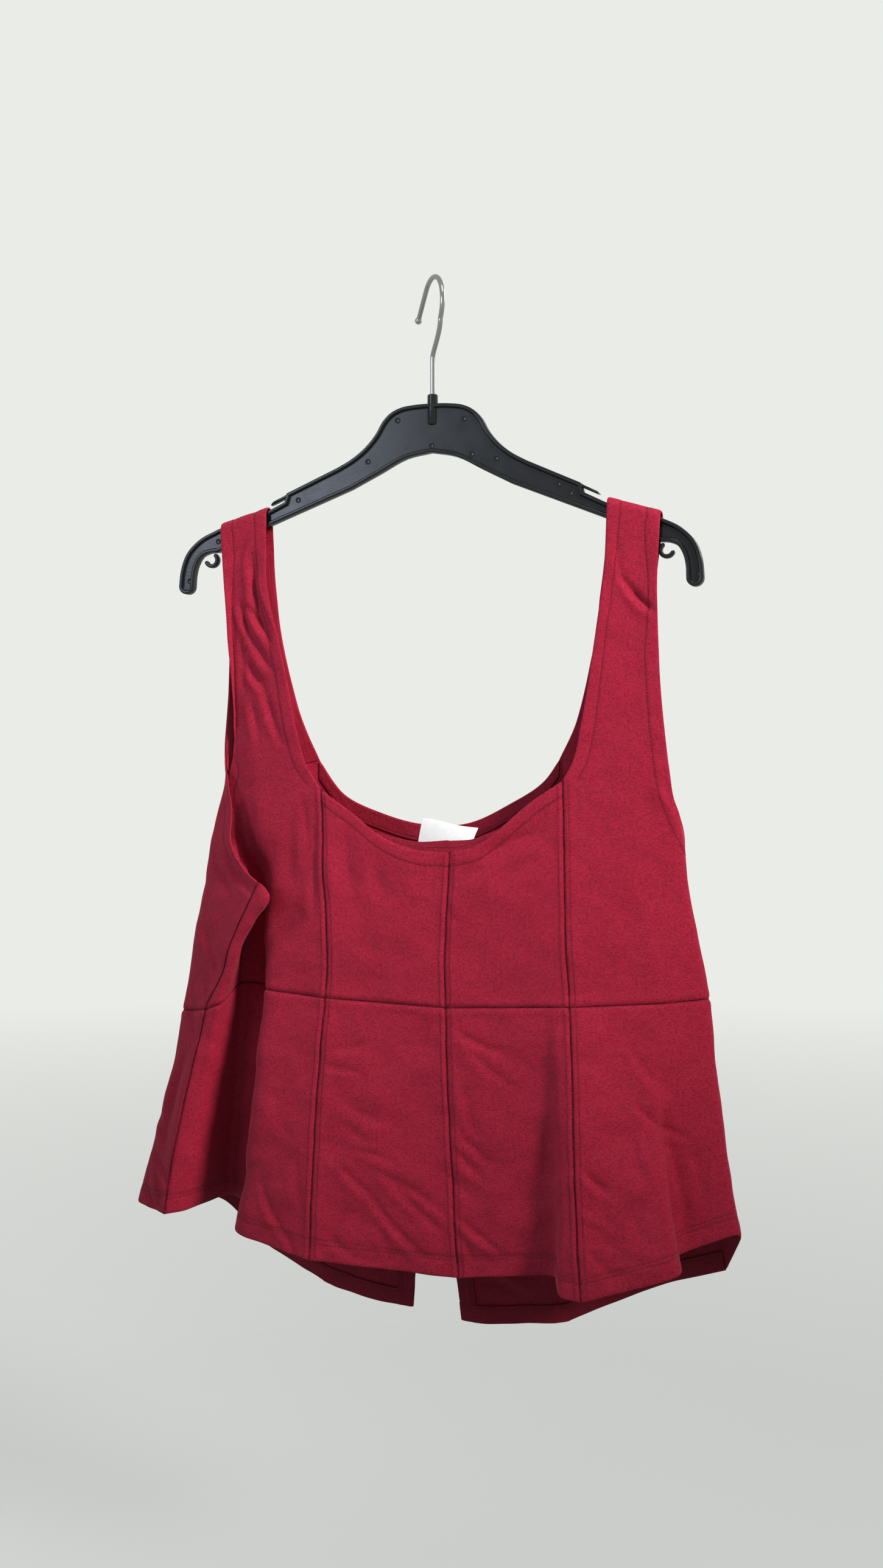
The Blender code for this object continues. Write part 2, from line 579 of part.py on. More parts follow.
def add_label(look):
    """A bare label that stands up behind the back neckline, its right end leaning away."""
    bottom = np.array([(-4.7, -22.5, -443.8), (17, -22.5, -445.2), (37.4, -22.5, -445.8)])
    top = np.array([(-1, -21.3, -422.6), (20, -18.5, -426), (41, -13.5, -430.3)])
    points = np.array([bottom, bottom * 0.5 + top * 0.5 + [0, -0.6, 0], top])
    wall("neck_label", points, grid_normals(points), LABEL_WALL, look)


def half_outline():
    """Half of the hanger's edge, from the middle of its top round to the middle of its arch."""
    tip = [(END_TIP[0] + (END_OUTSIDE[-1][0] - END_TIP[0]) * math.cos(a),
            END_TIP[1] - (END_OUTSIDE[-1][0] - END_TIP[0]) * math.sin(a))
           for a in np.radians([30.0, 60.0, 90.0, 120.0, 150.0])]
    outside = curve_through(END_OUTSIDE, 9).tolist()
    inside = curve_through(END_INSIDE, 9).tolist()
    return (curve_through(HUB_AND_SHOULDER, 13).tolist() + NOTCH + outside + tip + inside
            + [ARCH[0]] + curve_through(ARCH[1:], 7).tolist())


def inset(outline, width):
    """The outline drawn in by a width, square to its edges."""
    points = np.array(outline, dtype=float)
    before = unit(points - np.roll(points, 1, axis=0))
    after = unit(np.roll(points, -1, axis=0) - points)
    side = np.stack([before[:, 1] + after[:, 1], -(before[:, 0] + after[:, 0])], axis=1)
    side = unit(side)
    square = np.stack([after[:, 1], -after[:, 0]], axis=1)
    reach = np.clip((side * square).sum(axis=1, keepdims=True), 0.5, 1.0)
    return points + side * width / reach


def tipped(x, y, z):
    """A point of the hanger's own frame, once it has tipped in the hook's socket."""
    angle = math.radians(HANGER_TIP)
    up = z - SOCKET_Z
    return (x * math.cos(angle) + up * math.sin(angle), y,
            SOCKET_Z + up * math.cos(angle) - x * math.sin(angle))


def extruded(name, outline, depth, look):
    """A flat shape in the hanger's plane, given a depth."""
    count = len(outline)
    half = depth / 2
    vertices = [tipped(x, y, z) for y in (-half, half) for x, z in outline]
    faces = [tuple(range(count)), tuple(range(2 * count - 1, count - 1, -1))]
    faces += [(k, (k + 1) % count, (k + 1) % count + count, k + count) for k in range(count)]
    return add_object(name, vertices, faces, look)


def cylinder(name, radius, low, high, look, sides=16):
    """An upright cylinder about the hook's shank."""
    turn = [2 * math.pi * k / sides for k in range(sides)]
    vertices = [(radius * math.cos(a), radius * math.sin(a), z) for z in (low, high) for a in turn]
    faces = [tuple(range(sides)), tuple(range(sides, 2 * sides))]
    faces += [(k, (k + 1) % sides, (k + 1) % sides + sides, k + sides) for k in range(sides)]
    return add_object(name, vertices, faces, look)


def combine(obj, other, operation):
    """Applies a Boolean with another object, which is then removed."""
    modifier = obj.modifiers.new("combine", "BOOLEAN")
    modifier.operation = operation
    modifier.solver = "EXACT"
    modifier.object = other
    evaluated = obj.evaluated_get(bpy.context.evaluated_depsgraph_get())
    mesh = bpy.data.meshes.new_from_object(evaluated)
    obj.modifiers.clear()
    obj.data = mesh
    bpy.data.objects.remove(other, do_unlink=True)


def add_hanger_body(look):
    """The moulding: a rim round a thin web, with strap prongs and the hook's socket."""
    half = half_outline()
    outline = half + [(-x, z) for x, z in half[-2:0:-1]]
    inner = inset(outline, RIM_WIDTH).tolist()
    count = len(outline)
    depth, web = HANGER_DEPTH / 2, HANGER_DEPTH / 2 - WEB_RECESS
    rings = [(outline, -depth), (inner, -depth), (inner, -web),
             (inner, web), (inner, depth), (outline, depth)]
    vertices = [tipped(x, y, z) for ring, y in rings for x, z in ring]
    faces = [tuple(range(2 * count, 3 * count)), tuple(range(3 * count, 4 * count))]
    for first, second in ((0, 1), (1, 2), (3, 4), (4, 5), (5, 0)):
        for k in range(count):
            n = (k + 1) % count
            faces.append((first * count + k, first * count + n,
                          second * count + n, second * count + k))
    body = add_object("hanger_body", vertices, faces, look)
    (root_x, root_z), (tip_x, tip_z) = PRONG
    for side in (-1, 1):
        prong = [(side * root_x, root_z), (side * tip_x, tip_z),
                 (side * tip_x, tip_z - FINGER), (side * root_x, root_z - FINGER)]
        combine(body, extruded("prong", prong, HANGER_DEPTH - 0.6, look), "UNION")
    combine(body, cylinder("boss", BOSS_RADIUS, BOSS_BOTTOM, -96.0, look), "UNION")
    combine(body, cylinder("collar", COLLAR_RADIUS, -101.0, COLLAR_TOP, look), "UNION")
    combine(body, cylinder("bore", BORE_RADIUS, BORE_BOTTOM, COLLAR_TOP + 2.0, look), "DIFFERENCE")
    body.data.shade_smooth()
    body.data.set_sharp_from_angle(angle=math.radians(35))


def add_hanger_loops(look):
    """The small open loops under the hanger's ends, for a garment's hanging tapes."""
    angles = np.radians(np.linspace(*LOOP_ARC, 13))
    for name, side in (("left", -1), ("right", 1)):
        outline = [(side * (LOOP_CENTRE[0] + r * math.cos(a)), LOOP_CENTRE[1] + r * math.sin(a))
                   for r, turn in ((LOOP_RADIUS + FINGER / 2, angles),
                                   (LOOP_RADIUS - FINGER / 2, angles[::-1])) for a in turn]
        extruded("hanger_loop_" + name, outline, LOOP_DEPTH, look)


def hook_path():
    """The wire's centre line in the hook's plane: shank, swan neck, bend and tail."""
    centre = WIRE_RADIUS - HOOK_RADIUS
    bend = np.radians(np.linspace(*HOOK_ARC, 22))
    arc = [(HOOK_RADIUS * math.cos(a), centre + HOOK_RADIUS * math.sin(a)) for a in bend]
    shank = [(0.0, SHANK_BOTTOM), (0.0, (SHANK_BOTTOM + SHANK_TOP) / 2), (0.0, SHANK_TOP)]
    start = np.array(arc[0])
    rise = start - shank[-1]
    neck = []
    for t in np.linspace(0.0, 1.0, 8)[1:-1]:
        pull = t * t * (3 - 2 * t)
        neck.append((rise[0] * pull, SHANK_TOP + rise[1] * (0.62 * t + 0.38 * t * t)))
    away = (math.cos(bend[-1] + math.pi / 2), math.sin(bend[-1] + math.pi / 2))
    tail = [(arc[-1][0] + away[0] * run, arc[-1][1] + away[1] * run)
            for run in np.linspace(0.0, HOOK_TAIL - BALL_RADIUS, 5)[1:]]
    return np.array(shank + neck + arc + tail), np.array(away)


def add_hook(look):
    """Chromed wire with a ball on its end, as one turned skin along the wire's path."""
    path, away = hook_path()
    radii = [WIRE_RADIUS] * len(path)
    ball = path[-1] + away * BALL_RADIUS
    for angle in np.radians([125.0, 90.0, 60.0, 30.0]):
        path = np.vstack([path, ball + away * BALL_RADIUS * math.cos(angle)])
        radii.append(BALL_RADIUS * math.sin(angle))
    along = unit(np.gradient(path, axis=0))
    turn = math.radians(HOOK_TURN)
    in_plane = np.array([math.cos(turn), -math.sin(turn), 0.0])
    square = np.array([math.sin(turn), math.cos(turn), 0.0])
    up = np.array([0.0, 0.0, 1.0])
    vertices, faces = [], []
    for (u, z), (du, dz), radius in zip(path, along, radii):
        side = in_plane * dz - up * du
        for k in range(WIRE_SIDES):
            a = 2 * math.pi * k / WIRE_SIDES
            vertices.append(in_plane * u + up * z
                            + radius * (side * math.cos(a) + square * math.sin(a)))
    rings = len(path)
    for r in range(rings - 1):
        for k in range(WIRE_SIDES):
            n = (k + 1) % WIRE_SIDES
            faces.append((r * WIRE_SIDES + k, r * WIRE_SIDES + n,
                          (r + 1) * WIRE_SIDES + n, (r + 1) * WIRE_SIDES + k))
    faces.append(tuple(range(WIRE_SIDES)))
    end = ball + away * BALL_RADIUS
    vertices.append(in_plane * end[0] + up * end[1])
    last = (rings - 1) * WIRE_SIDES
    faces += [(last + k, last + (k + 1) % WIRE_SIDES, len(vertices) - 1)
              for k in range(WIRE_SIDES)]
    add_object("hanger_hook", vertices, faces, look)


def main():
    clear_scene()
    panels = garment_panels()
    for name, panel in panels.items():
        wall(name, pull_in(panel["points"], SEAM_GAP / 2), panel["normals"], WALL, KNIT)
    add_neck_facings(panels)
    add_hem_facings(panels)
    add_label(WOVEN_LABEL)
    add_hanger_body(BLACK_PLASTIC)
    add_hanger_loops(BLACK_PLASTIC)
    add_hook(CHROMED_WIRE)


main()
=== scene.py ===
# %% [markdown]
# A sleeveless peplum top on a plastic hanger.
# The top hangs by its wide straps with its back to us. It is a heavy double knit that keeps soft
# folds. This file dresses the plain frame: fine cloth shells with creases and seams, rows of
# stitches, a small label, a moulded hanger and its chromed hook. Lengths in the tables are
# millimetres, and everything is turned to metres when it goes into a mesh.

# %% Load the frame
import math

import bpy
import numpy as np
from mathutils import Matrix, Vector


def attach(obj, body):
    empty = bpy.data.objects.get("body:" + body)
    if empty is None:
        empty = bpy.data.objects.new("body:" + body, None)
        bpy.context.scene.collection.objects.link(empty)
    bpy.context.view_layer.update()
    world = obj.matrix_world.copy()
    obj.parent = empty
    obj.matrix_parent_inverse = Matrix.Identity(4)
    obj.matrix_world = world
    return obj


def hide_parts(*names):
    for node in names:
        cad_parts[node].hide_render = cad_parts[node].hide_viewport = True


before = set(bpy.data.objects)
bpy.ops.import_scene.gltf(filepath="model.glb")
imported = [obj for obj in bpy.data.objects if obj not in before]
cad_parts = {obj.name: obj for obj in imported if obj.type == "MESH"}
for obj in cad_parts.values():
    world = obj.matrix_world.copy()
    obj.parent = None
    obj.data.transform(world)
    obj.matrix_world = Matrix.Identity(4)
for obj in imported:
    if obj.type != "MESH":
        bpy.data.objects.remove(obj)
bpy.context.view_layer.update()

MM = 0.001
print("nodes in the frame:", len(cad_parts))

# %% [markdown]
# Camera first, since every later choice is judged through it. The picture was taken level, from
# behind the top and a little to its right, with a wide phone lens. A sensor of 36 mm on the long
# side turns the measured field of view into a focal length.

# %% Camera
SENSOR, LENS = 36.0, 37.97
CAMERA_PLACE, CAMERA_LOOK = (0.4083, -1.2342, -0.396), (-0.309, 0.951, 0.0)


def put_object(name, data, place=(0.0, 0.0, 0.0), look=None):
    """Links a new object. A camera or a lamp is turned to look along a direction."""
    obj = bpy.data.objects.new(name, data)
    obj.location = place
    if look is not None:
        obj.rotation_mode = "QUATERNION"
        obj.rotation_quaternion = Vector(look).to_track_quat("-Z", "Y")
    bpy.context.scene.collection.objects.link(obj)
    return obj


camera = put_object("camera", bpy.data.cameras.new("camera"), CAMERA_PLACE, CAMERA_LOOK)
camera.data.sensor_width = SENSOR
camera.data.lens = LENS
bpy.context.scene.camera = camera
bpy.context.scene.view_settings.view_transform = "Standard"

# %% [markdown]
# Small tools for materials. Colours are picked as sRGB hex, the way a paint program gives them,
# and a shader wants them linear. One function adds a node with its settings and what plugs into it.

# %% Colour and node helpers
def linear(hex_colour):
    """sRGB hex to linear: below 0.04045 divide by 12.92, else ((c + 0.055) / 1.055) to the 2.4."""
    value = [int(hex_colour[k:k + 2], 16) / 255 for k in (1, 3, 5)]
    return tuple(c / 12.92 if c <= 0.04045 else ((c + 0.055) / 1.055) ** 2.4 for c in value) + (1,)


def set_node(tree, node, settings):
    """A setting is a property, a socket's value, or what plugs in: a node gives its first output."""
    for name, value in settings.items():
        value = value.outputs[0] if isinstance(value, bpy.types.Node) else value
        if isinstance(value, bpy.types.NodeSocket):
            tree.links.new(value, node.inputs[name])
        elif isinstance(name, str) and hasattr(node, name):
            setattr(node, name, value)
        else:
            node.inputs[name].default_value = value
    return node


def add_node(tree, kind, settings):
    """Adds a shader node of a kind, with its settings and links."""
    return set_node(tree, tree.nodes.new("ShaderNode" + kind), settings)


def new_material(name, colour, settings):
    """A Principled material with constant values on its own sockets."""
    mat = bpy.data.materials.new(name)
    mat.use_nodes = True
    shader = mat.node_tree.nodes["Principled BSDF"]
    set_node(mat.node_tree, shader, {"Base Color": linear(colour), **settings})
    return mat, mat.node_tree, shader


# %% [markdown]
# Ponte: a rayon and nylon double knit, dyed crimson. The yarns take the dye unevenly, so the
# face is heathered: specks about a millimetre across, a little lighter and darker, drawn out along
# the wales. The wales are 1.1 mm apart. Seams hold shade, and it is painted: the shells carry a
# number of painted shade that is 1 on a seam line, and there the colour is darkened towards a
# painted seam shade. A low, broad sheen comes from the brushed yarn.

# %% Knit material
def knit(name, light, dark, seam):
    """Double knit: heather from two stretched noises, wales as bands across u, painted shade in grooves.
    """
    mat, tree, shader = new_material(name, light, {
        "Roughness": 0.74, "Sheen Weight": 0.05, "Sheen Roughness": 0.4, "Specular IOR Level": 0.22})
    uv = add_node(tree, "UVMap", {})
    stretch = add_node(tree, "Mapping", {"Scale": (0.5, 1.0, 1.0), "Vector": uv})
    fleck = add_node(tree, "TexNoise", {"Scale": 950.0, "Detail": 2.0, "Vector": stretch})
    patch = add_node(tree, "TexNoise", {"Scale": 260.0, "Detail": 3.0, "Roughness": 0.6,
                                        "Vector": stretch})
    less = add_node(tree, "Math", {"operation": "MULTIPLY", 0: patch, 1: 0.28})
    both = add_node(tree, "Math", {"operation": "MULTIPLY_ADD", 0: fleck, 1: 0.72, 2: less})
    heather = add_node(tree, "MapRange", {"From Min": 0.36, "From Max": 0.62, "Value": both})
    dyed = add_node(tree, "Mix", {"data_type": "RGBA", 0: heather, 6: linear(dark),
                                  7: linear(light)})
    # Painted shade: where the shell's painted shade value is 1, on seam lines, the colour falls to the
    # dark seam colour, broken up by the patch noise.
    groove = add_node(tree, "Attribute", {"attribute_name": "groove"})
    uneven = add_node(tree, "MapRange", {"From Min": 0.35, "From Max": 0.6, "To Min": 0.45,
                                         "To Max": 1.0, "Value": patch})
    deep = add_node(tree, "Math", {"operation": "MULTIPLY", 0: groove.outputs["Fac"], 1: uneven})
    shaded = add_node(tree, "Mix", {"data_type": "RGBA", 0: deep, 6: dyed.outputs[2],
                                    7: linear(seam)})
    # one wave period is 0.314 units at scale 1, so 286 gives the 1.1 mm wale
    wale = add_node(tree, "TexWave", {"Scale": 286.0, "Distortion": 1.2, "Detail Scale": 2.0,
                                      "Vector": uv})
    crumple = add_node(tree, "TexNoise", {"Scale": 75.0, "Detail": 3.0, "Vector": uv})
    fine = add_node(tree, "Bump", {"Strength": 0.5, "Distance": 0.00012,
                                   "Height": wale.outputs["Fac"]})
    grain = add_node(tree, "Bump", {"Strength": 0.6, "Distance": 0.0002, "Height": fleck,
                                    "Normal": fine})
    soft = add_node(tree, "Bump", {"Strength": 0.5, "Distance": 0.0011, "Height": crumple,
                                   "Normal": grain})
    set_node(tree, shader, {"Base Color": shaded.outputs[2], "Normal": soft})
    return mat


# The last colour of each knit is the painted shade on seam lines and rows of stitches.
KNIT_FACE = knit("crimson_ponte_face", "#9B2138", "#781529", "#33050D")
KNIT_BACK = knit("crimson_ponte_wrong_side", "#8C1D31", "#701425", "#2E060E")

# %% [markdown]
# The garment's lines. Each sewn panel is stretched through lines that run down it: seams, edges
# and the big folds. A row gives the level and the place: level 0 at the hanger, 1 at the corner of
# the back neckline, 2 at the underarm, 3 at the waist seam and 4 at the hem. These are the same
# lines that the solids use, so the dressed cloth keeps their outline and folds.

# %% Lines
LINES = {
    "back_princess_left": [
        (0.0, -140, -6.2, -178), (0.3, -137, -11, -236), (0.6, -121, -15, -298),
        (0.8, -109, -17, -352), (0.92, -99, -18.5, -383), (1.0, -86, -20, -401),
        (1.5, -84, -23, -433), (2.0, -82.5, -26, -464), (2.5, -77, -31, -516),
        (3.0, -77, -34, -563), (3.33, -80, -42, -625), (3.7, -81, -51, -702),
        (4.0, -80.5, -58, -761)],
    "back_princess_right": [
        (0.0, 141, -6.2, -184.8), (0.3, 139, -10, -238), (0.6, 131, -15, -302),
        (0.8, 124, -18, -350), (0.92, 117.5, -20, -380), (1.0, 110, -21, -394),
        (1.5, 111.5, -24, -430), (2.0, 113, -28, -463), (2.5, 115, -32, -515),
        (3.0, 119, -36, -562), (3.33, 124, -48, -614), (3.7, 130, -65, -695),
        (4.0, 137, -77, -767.5)],
    "back_centre": [
        (1.0, 22, -26, -449), (2.0, 21, -29, -489), (2.5, 20, -32, -529),
        (3.0, 22, -35, -566.5), (3.33, 25, -40, -622), (3.7, 31, -46.5, -697),
        (4.0, 37, -52, -766)],
    "flute_hollow": [
        (3.0, 98, -35, -563), (3.33, 103, -39.5, -614.5), (3.7, 108, -43, -693),
        (4.0, 112, -45, -758)],
    "flute_ridge": [
        (3.0, 108, -36, -562.5), (3.33, 113, -47, -615), (3.7, 118, -62, -696),
        (4.0, 121, -74, -766)],
    "flute_fold": [
        (0.0, 157, -6.2, -189.7), (1.0, 152, -18, -396), (2.0, 158, -19, -465),
        (3.0, 172, -20, -559.5), (3.33, 179, -26.5, -606), (3.5, 186, -34, -648),
        (3.7, 195, -46, -690), (4.0, 208, -60, -747)],
    "flute_back": [
        (0.0, 164, -6.2, -191.8), (1.0, 166, -16, -396.5), (2.0, 172, -14.5, -465.5),
        (3.0, 184, -16, -559), (3.33, 187, -20, -606), (3.5, 187, -21, -646),
        (3.7, 187, -21, -690), (4.0, 195, -22, -743)],
    "back_armhole_left": [
        (0.0, -180, -6.2, -189), (0.3, -175, -9, -243), (0.6, -169.5, -8.5, -312),
        (0.8, -167, -6.5, -346), (0.9, -169.5, -4, -372), (1.0, -176, -2, -393),
        (1.3, -179, -2, -424), (1.6, -175, -4, -451), (1.8, -155, -16, -472),
        (1.9, -131, -32, -479), (2.0, -133, -37, -473.5)],
    "front_armhole_left": [
        (0.0, -180, 6.2, -189), (0.3, -177, 6, -247), (0.6, -177, 3, -318),
        (0.9, -177, -4, -378), (1.0, -173, -8, -391), (1.2, -167, -13.5, -415),
        (1.6, -162, -22, -447), (1.8, -150, -29, -463), (2.0, -133, -37, -473.5)],
    "back_armhole_right": [
        (0.0, 181, -6.2, -197.2), (0.3, 179.5, -10, -245), (0.6, 182, -12, -318),
        (0.8, 185.5, -11.5, -358), (1.0, 190, -9, -397), (1.3, 195, -3, -419),
        (1.6, 197, 6, -440), (1.8, 194, 13, -458), (2.0, 186, 18, -470)],
    "front_armhole_right": [
        (0.0, 181, 6.2, -197.2), (0.3, 174.5, 12, -248), (0.6, 173.5, 17, -318),
        (1.0, 178, 21, -396), (1.5, 183, 22, -440), (2.0, 186, 18, -470)],
    "side_left": [
        (2.0, -133, -37, -473.5), (2.25, -149, -35.5, -504), (2.5, -160, -33, -525),
        (2.75, -168, -29, -548), (3.0, -184, -24, -578), (3.33, -199, -25, -635),
        (3.7, -211, -28.5, -694), (4.0, -219, -30, -744)],
    "side_right": [
        (2.0, 186, 18, -470), (2.5, 197, 18, -515), (3.0, 205, 17, -558),
        (3.33, 210, 20, -616), (3.7, 217, 25, -694), (4.0, 225, 31, -766)],
    "left_turn": [
        (0.0, -170, -6.2, -186.5), (1.0, -170, -3.5, -393), (1.3, -174, -2.5, -423),
        (1.6, -170, -2, -449), (1.8, -157, -11, -469), (1.9, -138, -27, -476),
        (2.0, -123, -38, -484), (2.25, -134, -36.5, -503), (2.5, -146, -34, -522),
        (2.75, -157, -31, -546), (3.0, -170, -27, -572), (3.33, -184, -22, -632),
        (3.7, -196, -21, -694), (4.0, -205, -22, -742)],
    "left_gully": [
        (0.0, -163, -6.2, -184.5), (1.0, -163, -6, -394), (1.3, -168, -3, -424),
        (1.6, -167, 0, -450), (2.0, -163, 4, -470), (2.5, -165, 7, -518),
        (3.0, -168, 7, -558), (3.33, -174, 14, -625), (3.7, -183, 24, -694),
        (4.0, -190, 32, -739)],
    "left_tuck": [
        (0.0, -158, -6.2, -183), (1.0, -153, -10, -394.5), (1.5, -149, -8, -443),
        (2.0, -143, -3, -468), (2.5, -140, 0, -517), (3.0, -139.5, 3, -559),
        (3.33, -145, 3, -617), (3.7, -156.5, 10, -695), (4.0, -167.5, 16, -742)],
    "left_fold": [
        (0.0, -153, -6.2, -182), (1.0, -145, -13, -395), (1.5, -138, -14, -440),
        (2.0, -131, -15, -468), (2.5, -134, -23, -517), (3.0, -132, -29, -559),
        (3.33, -135.5, -36, -616), (3.7, -143, -42, -696), (4.0, -151, -45, -750)],
    "left_outline": [
        (0.0, -173, 6.2, -187), (0.6, -172, 6, -317), (0.9, -176, 1, -380),
        (1.0, -180, 2, -395), (1.3, -189, 0.5, -421), (1.6, -196, 0, -448),
        (2.0, -203, 0, -478), (2.5, -212, 0, -527), (3.0, -221, 0, -583),
        (3.33, -231, 0, -634), (3.7, -248, 0, -692), (4.0, -262, -3, -742)],
    "right_outline": [
        (0.0, 171, -6.2, -194), (0.6, 173, -12.5, -317), (1.0, 182, -12.5, -397),
        (1.3, 191, -8, -419), (1.6, 197.5, -3, -440), (2.0, 202.5, 0, -467),
        (2.5, 211, 0, -513), (3.0, 219.5, 0, -556), (3.33, 225, 0, -613),
        (3.7, 235.5, 0, -688), (4.0, 243, 0, -727)],
    "front_princess_left": [
        (0.0, -140, 6.2, -178), (0.3, -139.5, 13, -238), (0.6, -133, 17.5, -292),
        (0.8, -121, 20.5, -340), (1.0, -105, 23.5, -378), (2.0, -108, 28, -458),
        (3.0, -112, 34, -576), (3.5, -116, 48, -700), (4.0, -118, 62, -814)],
    "front_princess_right": [
        (0.0, 141, 6.2, -184.8), (0.3, 133, 13, -240), (0.6, 124, 18, -296),
        (0.8, 112, 21, -345), (1.0, 97, 22.5, -377), (2.0, 92, 28, -456),
        (3.0, 78, 34, -572), (3.5, 86, 50, -702), (4.0, 95, 67, -828)],
    "front_slit_left": [
        (3.0, -18.5, 35, -577), (3.5, -27, 50, -704), (4.0, -38.5, 65, -829.5)],
    "front_slit_right": [
        (3.0, -15.5, 35, -577), (3.5, -7, 50, -707), (4.0, 4, 65, -836.5)],
    "front_middle_left": [
        (0.0, -160, 6.2, -183), (0.6, -155, 10, -306), (1.0, -150, 15, -390),
        (2.0, -160, 22, -470), (3.0, -172, 27, -582), (3.5, -188, 42, -680),
        (4.0, -208, 54, -746.5)],
    "front_low_left": [
        (0.0, -150, 6.2, -181), (0.6, -144, 14, -300), (1.0, -128, 20, -384),
        (2.0, -134, 25.5, -464), (3.0, -142, 31, -580), (3.5, -152, 46, -692), (4.0, -163, 60, -792)],
    "front_middle_right": [
        (0.0, 161, 6.2, -190.8), (1.0, 140, 23, -390), (2.0, 148, 26, -463),
        (3.0, 152, 29, -566), (3.5, 160, 44, -680), (4.0, 172, 55, -788)],
}
BACK_SCOOP_LEFT = [(-86, -20, -401), (-58, -22, -420), (-37, -24, -435.5), (-7, -26, -447),
                   (22, -26, -449)]
BACK_SCOOP_RIGHT = [(22, -26, -449), (44, -26, -443.5), (60, -25, -432), (84, -23, -411.5),
                    (110, -21, -394)]
FRONT_SCOOP = [(-105, 23.5, -378), (-84.5, 25, -404.5), (-52, 27, -420), (-19, 28, -428.5),
               (19, 28, -428), (55, 26, -412.5), (85, 24, -393), (97, 22.5, -377)]
NECK_EDGE_RISE = [(-86, -1.5), (-45, -1.5), (-20, 5), (20, 9.5), (48, 5.5), (66, -1.5), (110, -1.5)]
BODY_KNOTS = np.array([1.0, 1.2, 1.4, 1.6, 1.75, 1.88, 2.0, 2.2, 2.4, 2.6, 2.8, 3.0])

# %% [markdown]
# Turning lines into cloth. A curve through a line's rows is made of cubic pieces that pass
# through each row with a shared slope. Across a row, the cloth runs straight from line to line and
# then every point is averaged with its near neighbours, which rounds the folds and leaves the two
# ends where they are. Rows and columns stand closer beside a seam or an edge, where the cloth dips.

# %% Curves and grids
FINE, ROUNDING = 40, 15
COLUMN_STEP = 2.3
EDGE_STEPS = np.array([0.0, 0.5, 1.1, 1.9, 3.0, 4.4, 6.0, 8.0, 9.4, 10.4, 11.4, 13.0, 15.4])


def unit(v):
    """Each vector divided by its own length."""
    return v / np.maximum(np.linalg.norm(v, axis=-1, keepdims=True), 1e-9)


def bell(d, width):
    """A bell curve over a distance: exp(-(d / width)^2)."""
    return np.exp(-(d / width)**2)


def smooth_through(at, known, values):
    """Cubic Hermite curve: (2t3-3t2+1) a + (t3-2t2+t) ma + (3t2-2t3) b + (t3-t2) mb."""
    at = np.clip(at, known[0], known[-1])
    slope = np.gradient(values, known, axis=0)
    k = np.clip(np.searchsorted(known, at, side="right") - 1, 0, len(known) - 2)
    step = (known[k + 1] - known[k])[:, None]
    t = (at - known[k])[:, None] / step
    return ((2 * t**3 - 3 * t**2 + 1) * values[k] + (t**3 - 2 * t**2 + t) * slope[k] * step
            + (3 * t**2 - 2 * t**3) * values[k + 1] + (t**3 - t**2) * slope[k + 1] * step)


def line(name, levels):
    """Points of a named line. A princess line turns sharply at level 1."""
    table = np.array(LINES[name], dtype=float)
    if "princess" not in name:
        return smooth_through(levels, table[:, 0], table[:, 1:])
    above, below = table[table[:, 0] <= 1.0], table[table[:, 0] >= 1.0]
    strap = smooth_through(levels, above[:, 0], above[:, 1:])
    seam = smooth_through(levels, below[:, 0], below[:, 1:])
    return np.where((levels < 1.0)[:, None], strap, seam)


def along_curve(points, share):
    """A curve through points, at shares of its length."""
    points = np.array(points, dtype=float)
    run = np.concatenate([[0.0], np.cumsum(np.linalg.norm(np.diff(points, axis=0), axis=1))])
    return smooth_through(share * run[-1], run, points)


def spaced(length, first=True, last=True):
    """Distances from 0 to length: even steps, and closer ones beside a seam or an edge."""
    close = EDGE_STEPS[EDGE_STEPS < length / 2 - 1.0]
    start = close if first else np.array([0.0])
    end = length - (close[::-1] if last else np.array([0.0]))
    count = max(2, int((end[0] - start[-1]) / COLUMN_STEP))
    return np.concatenate([start, np.linspace(start[-1], end[0], count)[1:-1], end])


def dense_rows(stations):
    """Straight from station to station, then a raised-cosine weighted mean of near points."""
    t = np.arange(FINE) / FINE
    a, b = stations[:, :-1, None], stations[:, 1:, None]
    fine = (a + (b - a) * t[None, None, :, None]).reshape(len(stations), -1, 3)
    fine = np.concatenate([fine, stations[:, -1:]], axis=1)
    before = 2 * fine[:, :1] - fine[:, ROUNDING:0:-1]
    after = 2 * fine[:, -1:] - fine[:, -2:-ROUNDING - 2:-1]
    padded = np.concatenate([before, fine, after], axis=1)
    weights = np.hanning(2 * ROUNDING + 3)[1:-1]
    size = fine.shape[1]
    return sum(w * padded[:, k:k + size] for k, w in enumerate(weights / weights.sum()))


def pick(rows, places):
    """Points of each row at fractional places, by straight interpolation."""
    low = np.minimum(places.astype(int), rows.shape[1] - 2)
    part = (places - low)[None, :, None]
    return rows[:, low] * (1 - part) + rows[:, low + 1] * part


def even_places(rows):
    """Places along dense rows that stand at wanted distances on the rows' mean length."""
    steps = np.linalg.norm(np.diff(rows, axis=1), axis=2).mean(axis=0)
    run = np.concatenate([[0.0], np.cumsum(steps)])
    return np.interp(spaced(run[-1]), run, np.arange(len(run)))


def levels_between(low, high, length, first, last):
    """Levels from low to high over a known length of cloth."""
    return low + (high - low) * spaced(length, first, last) / length


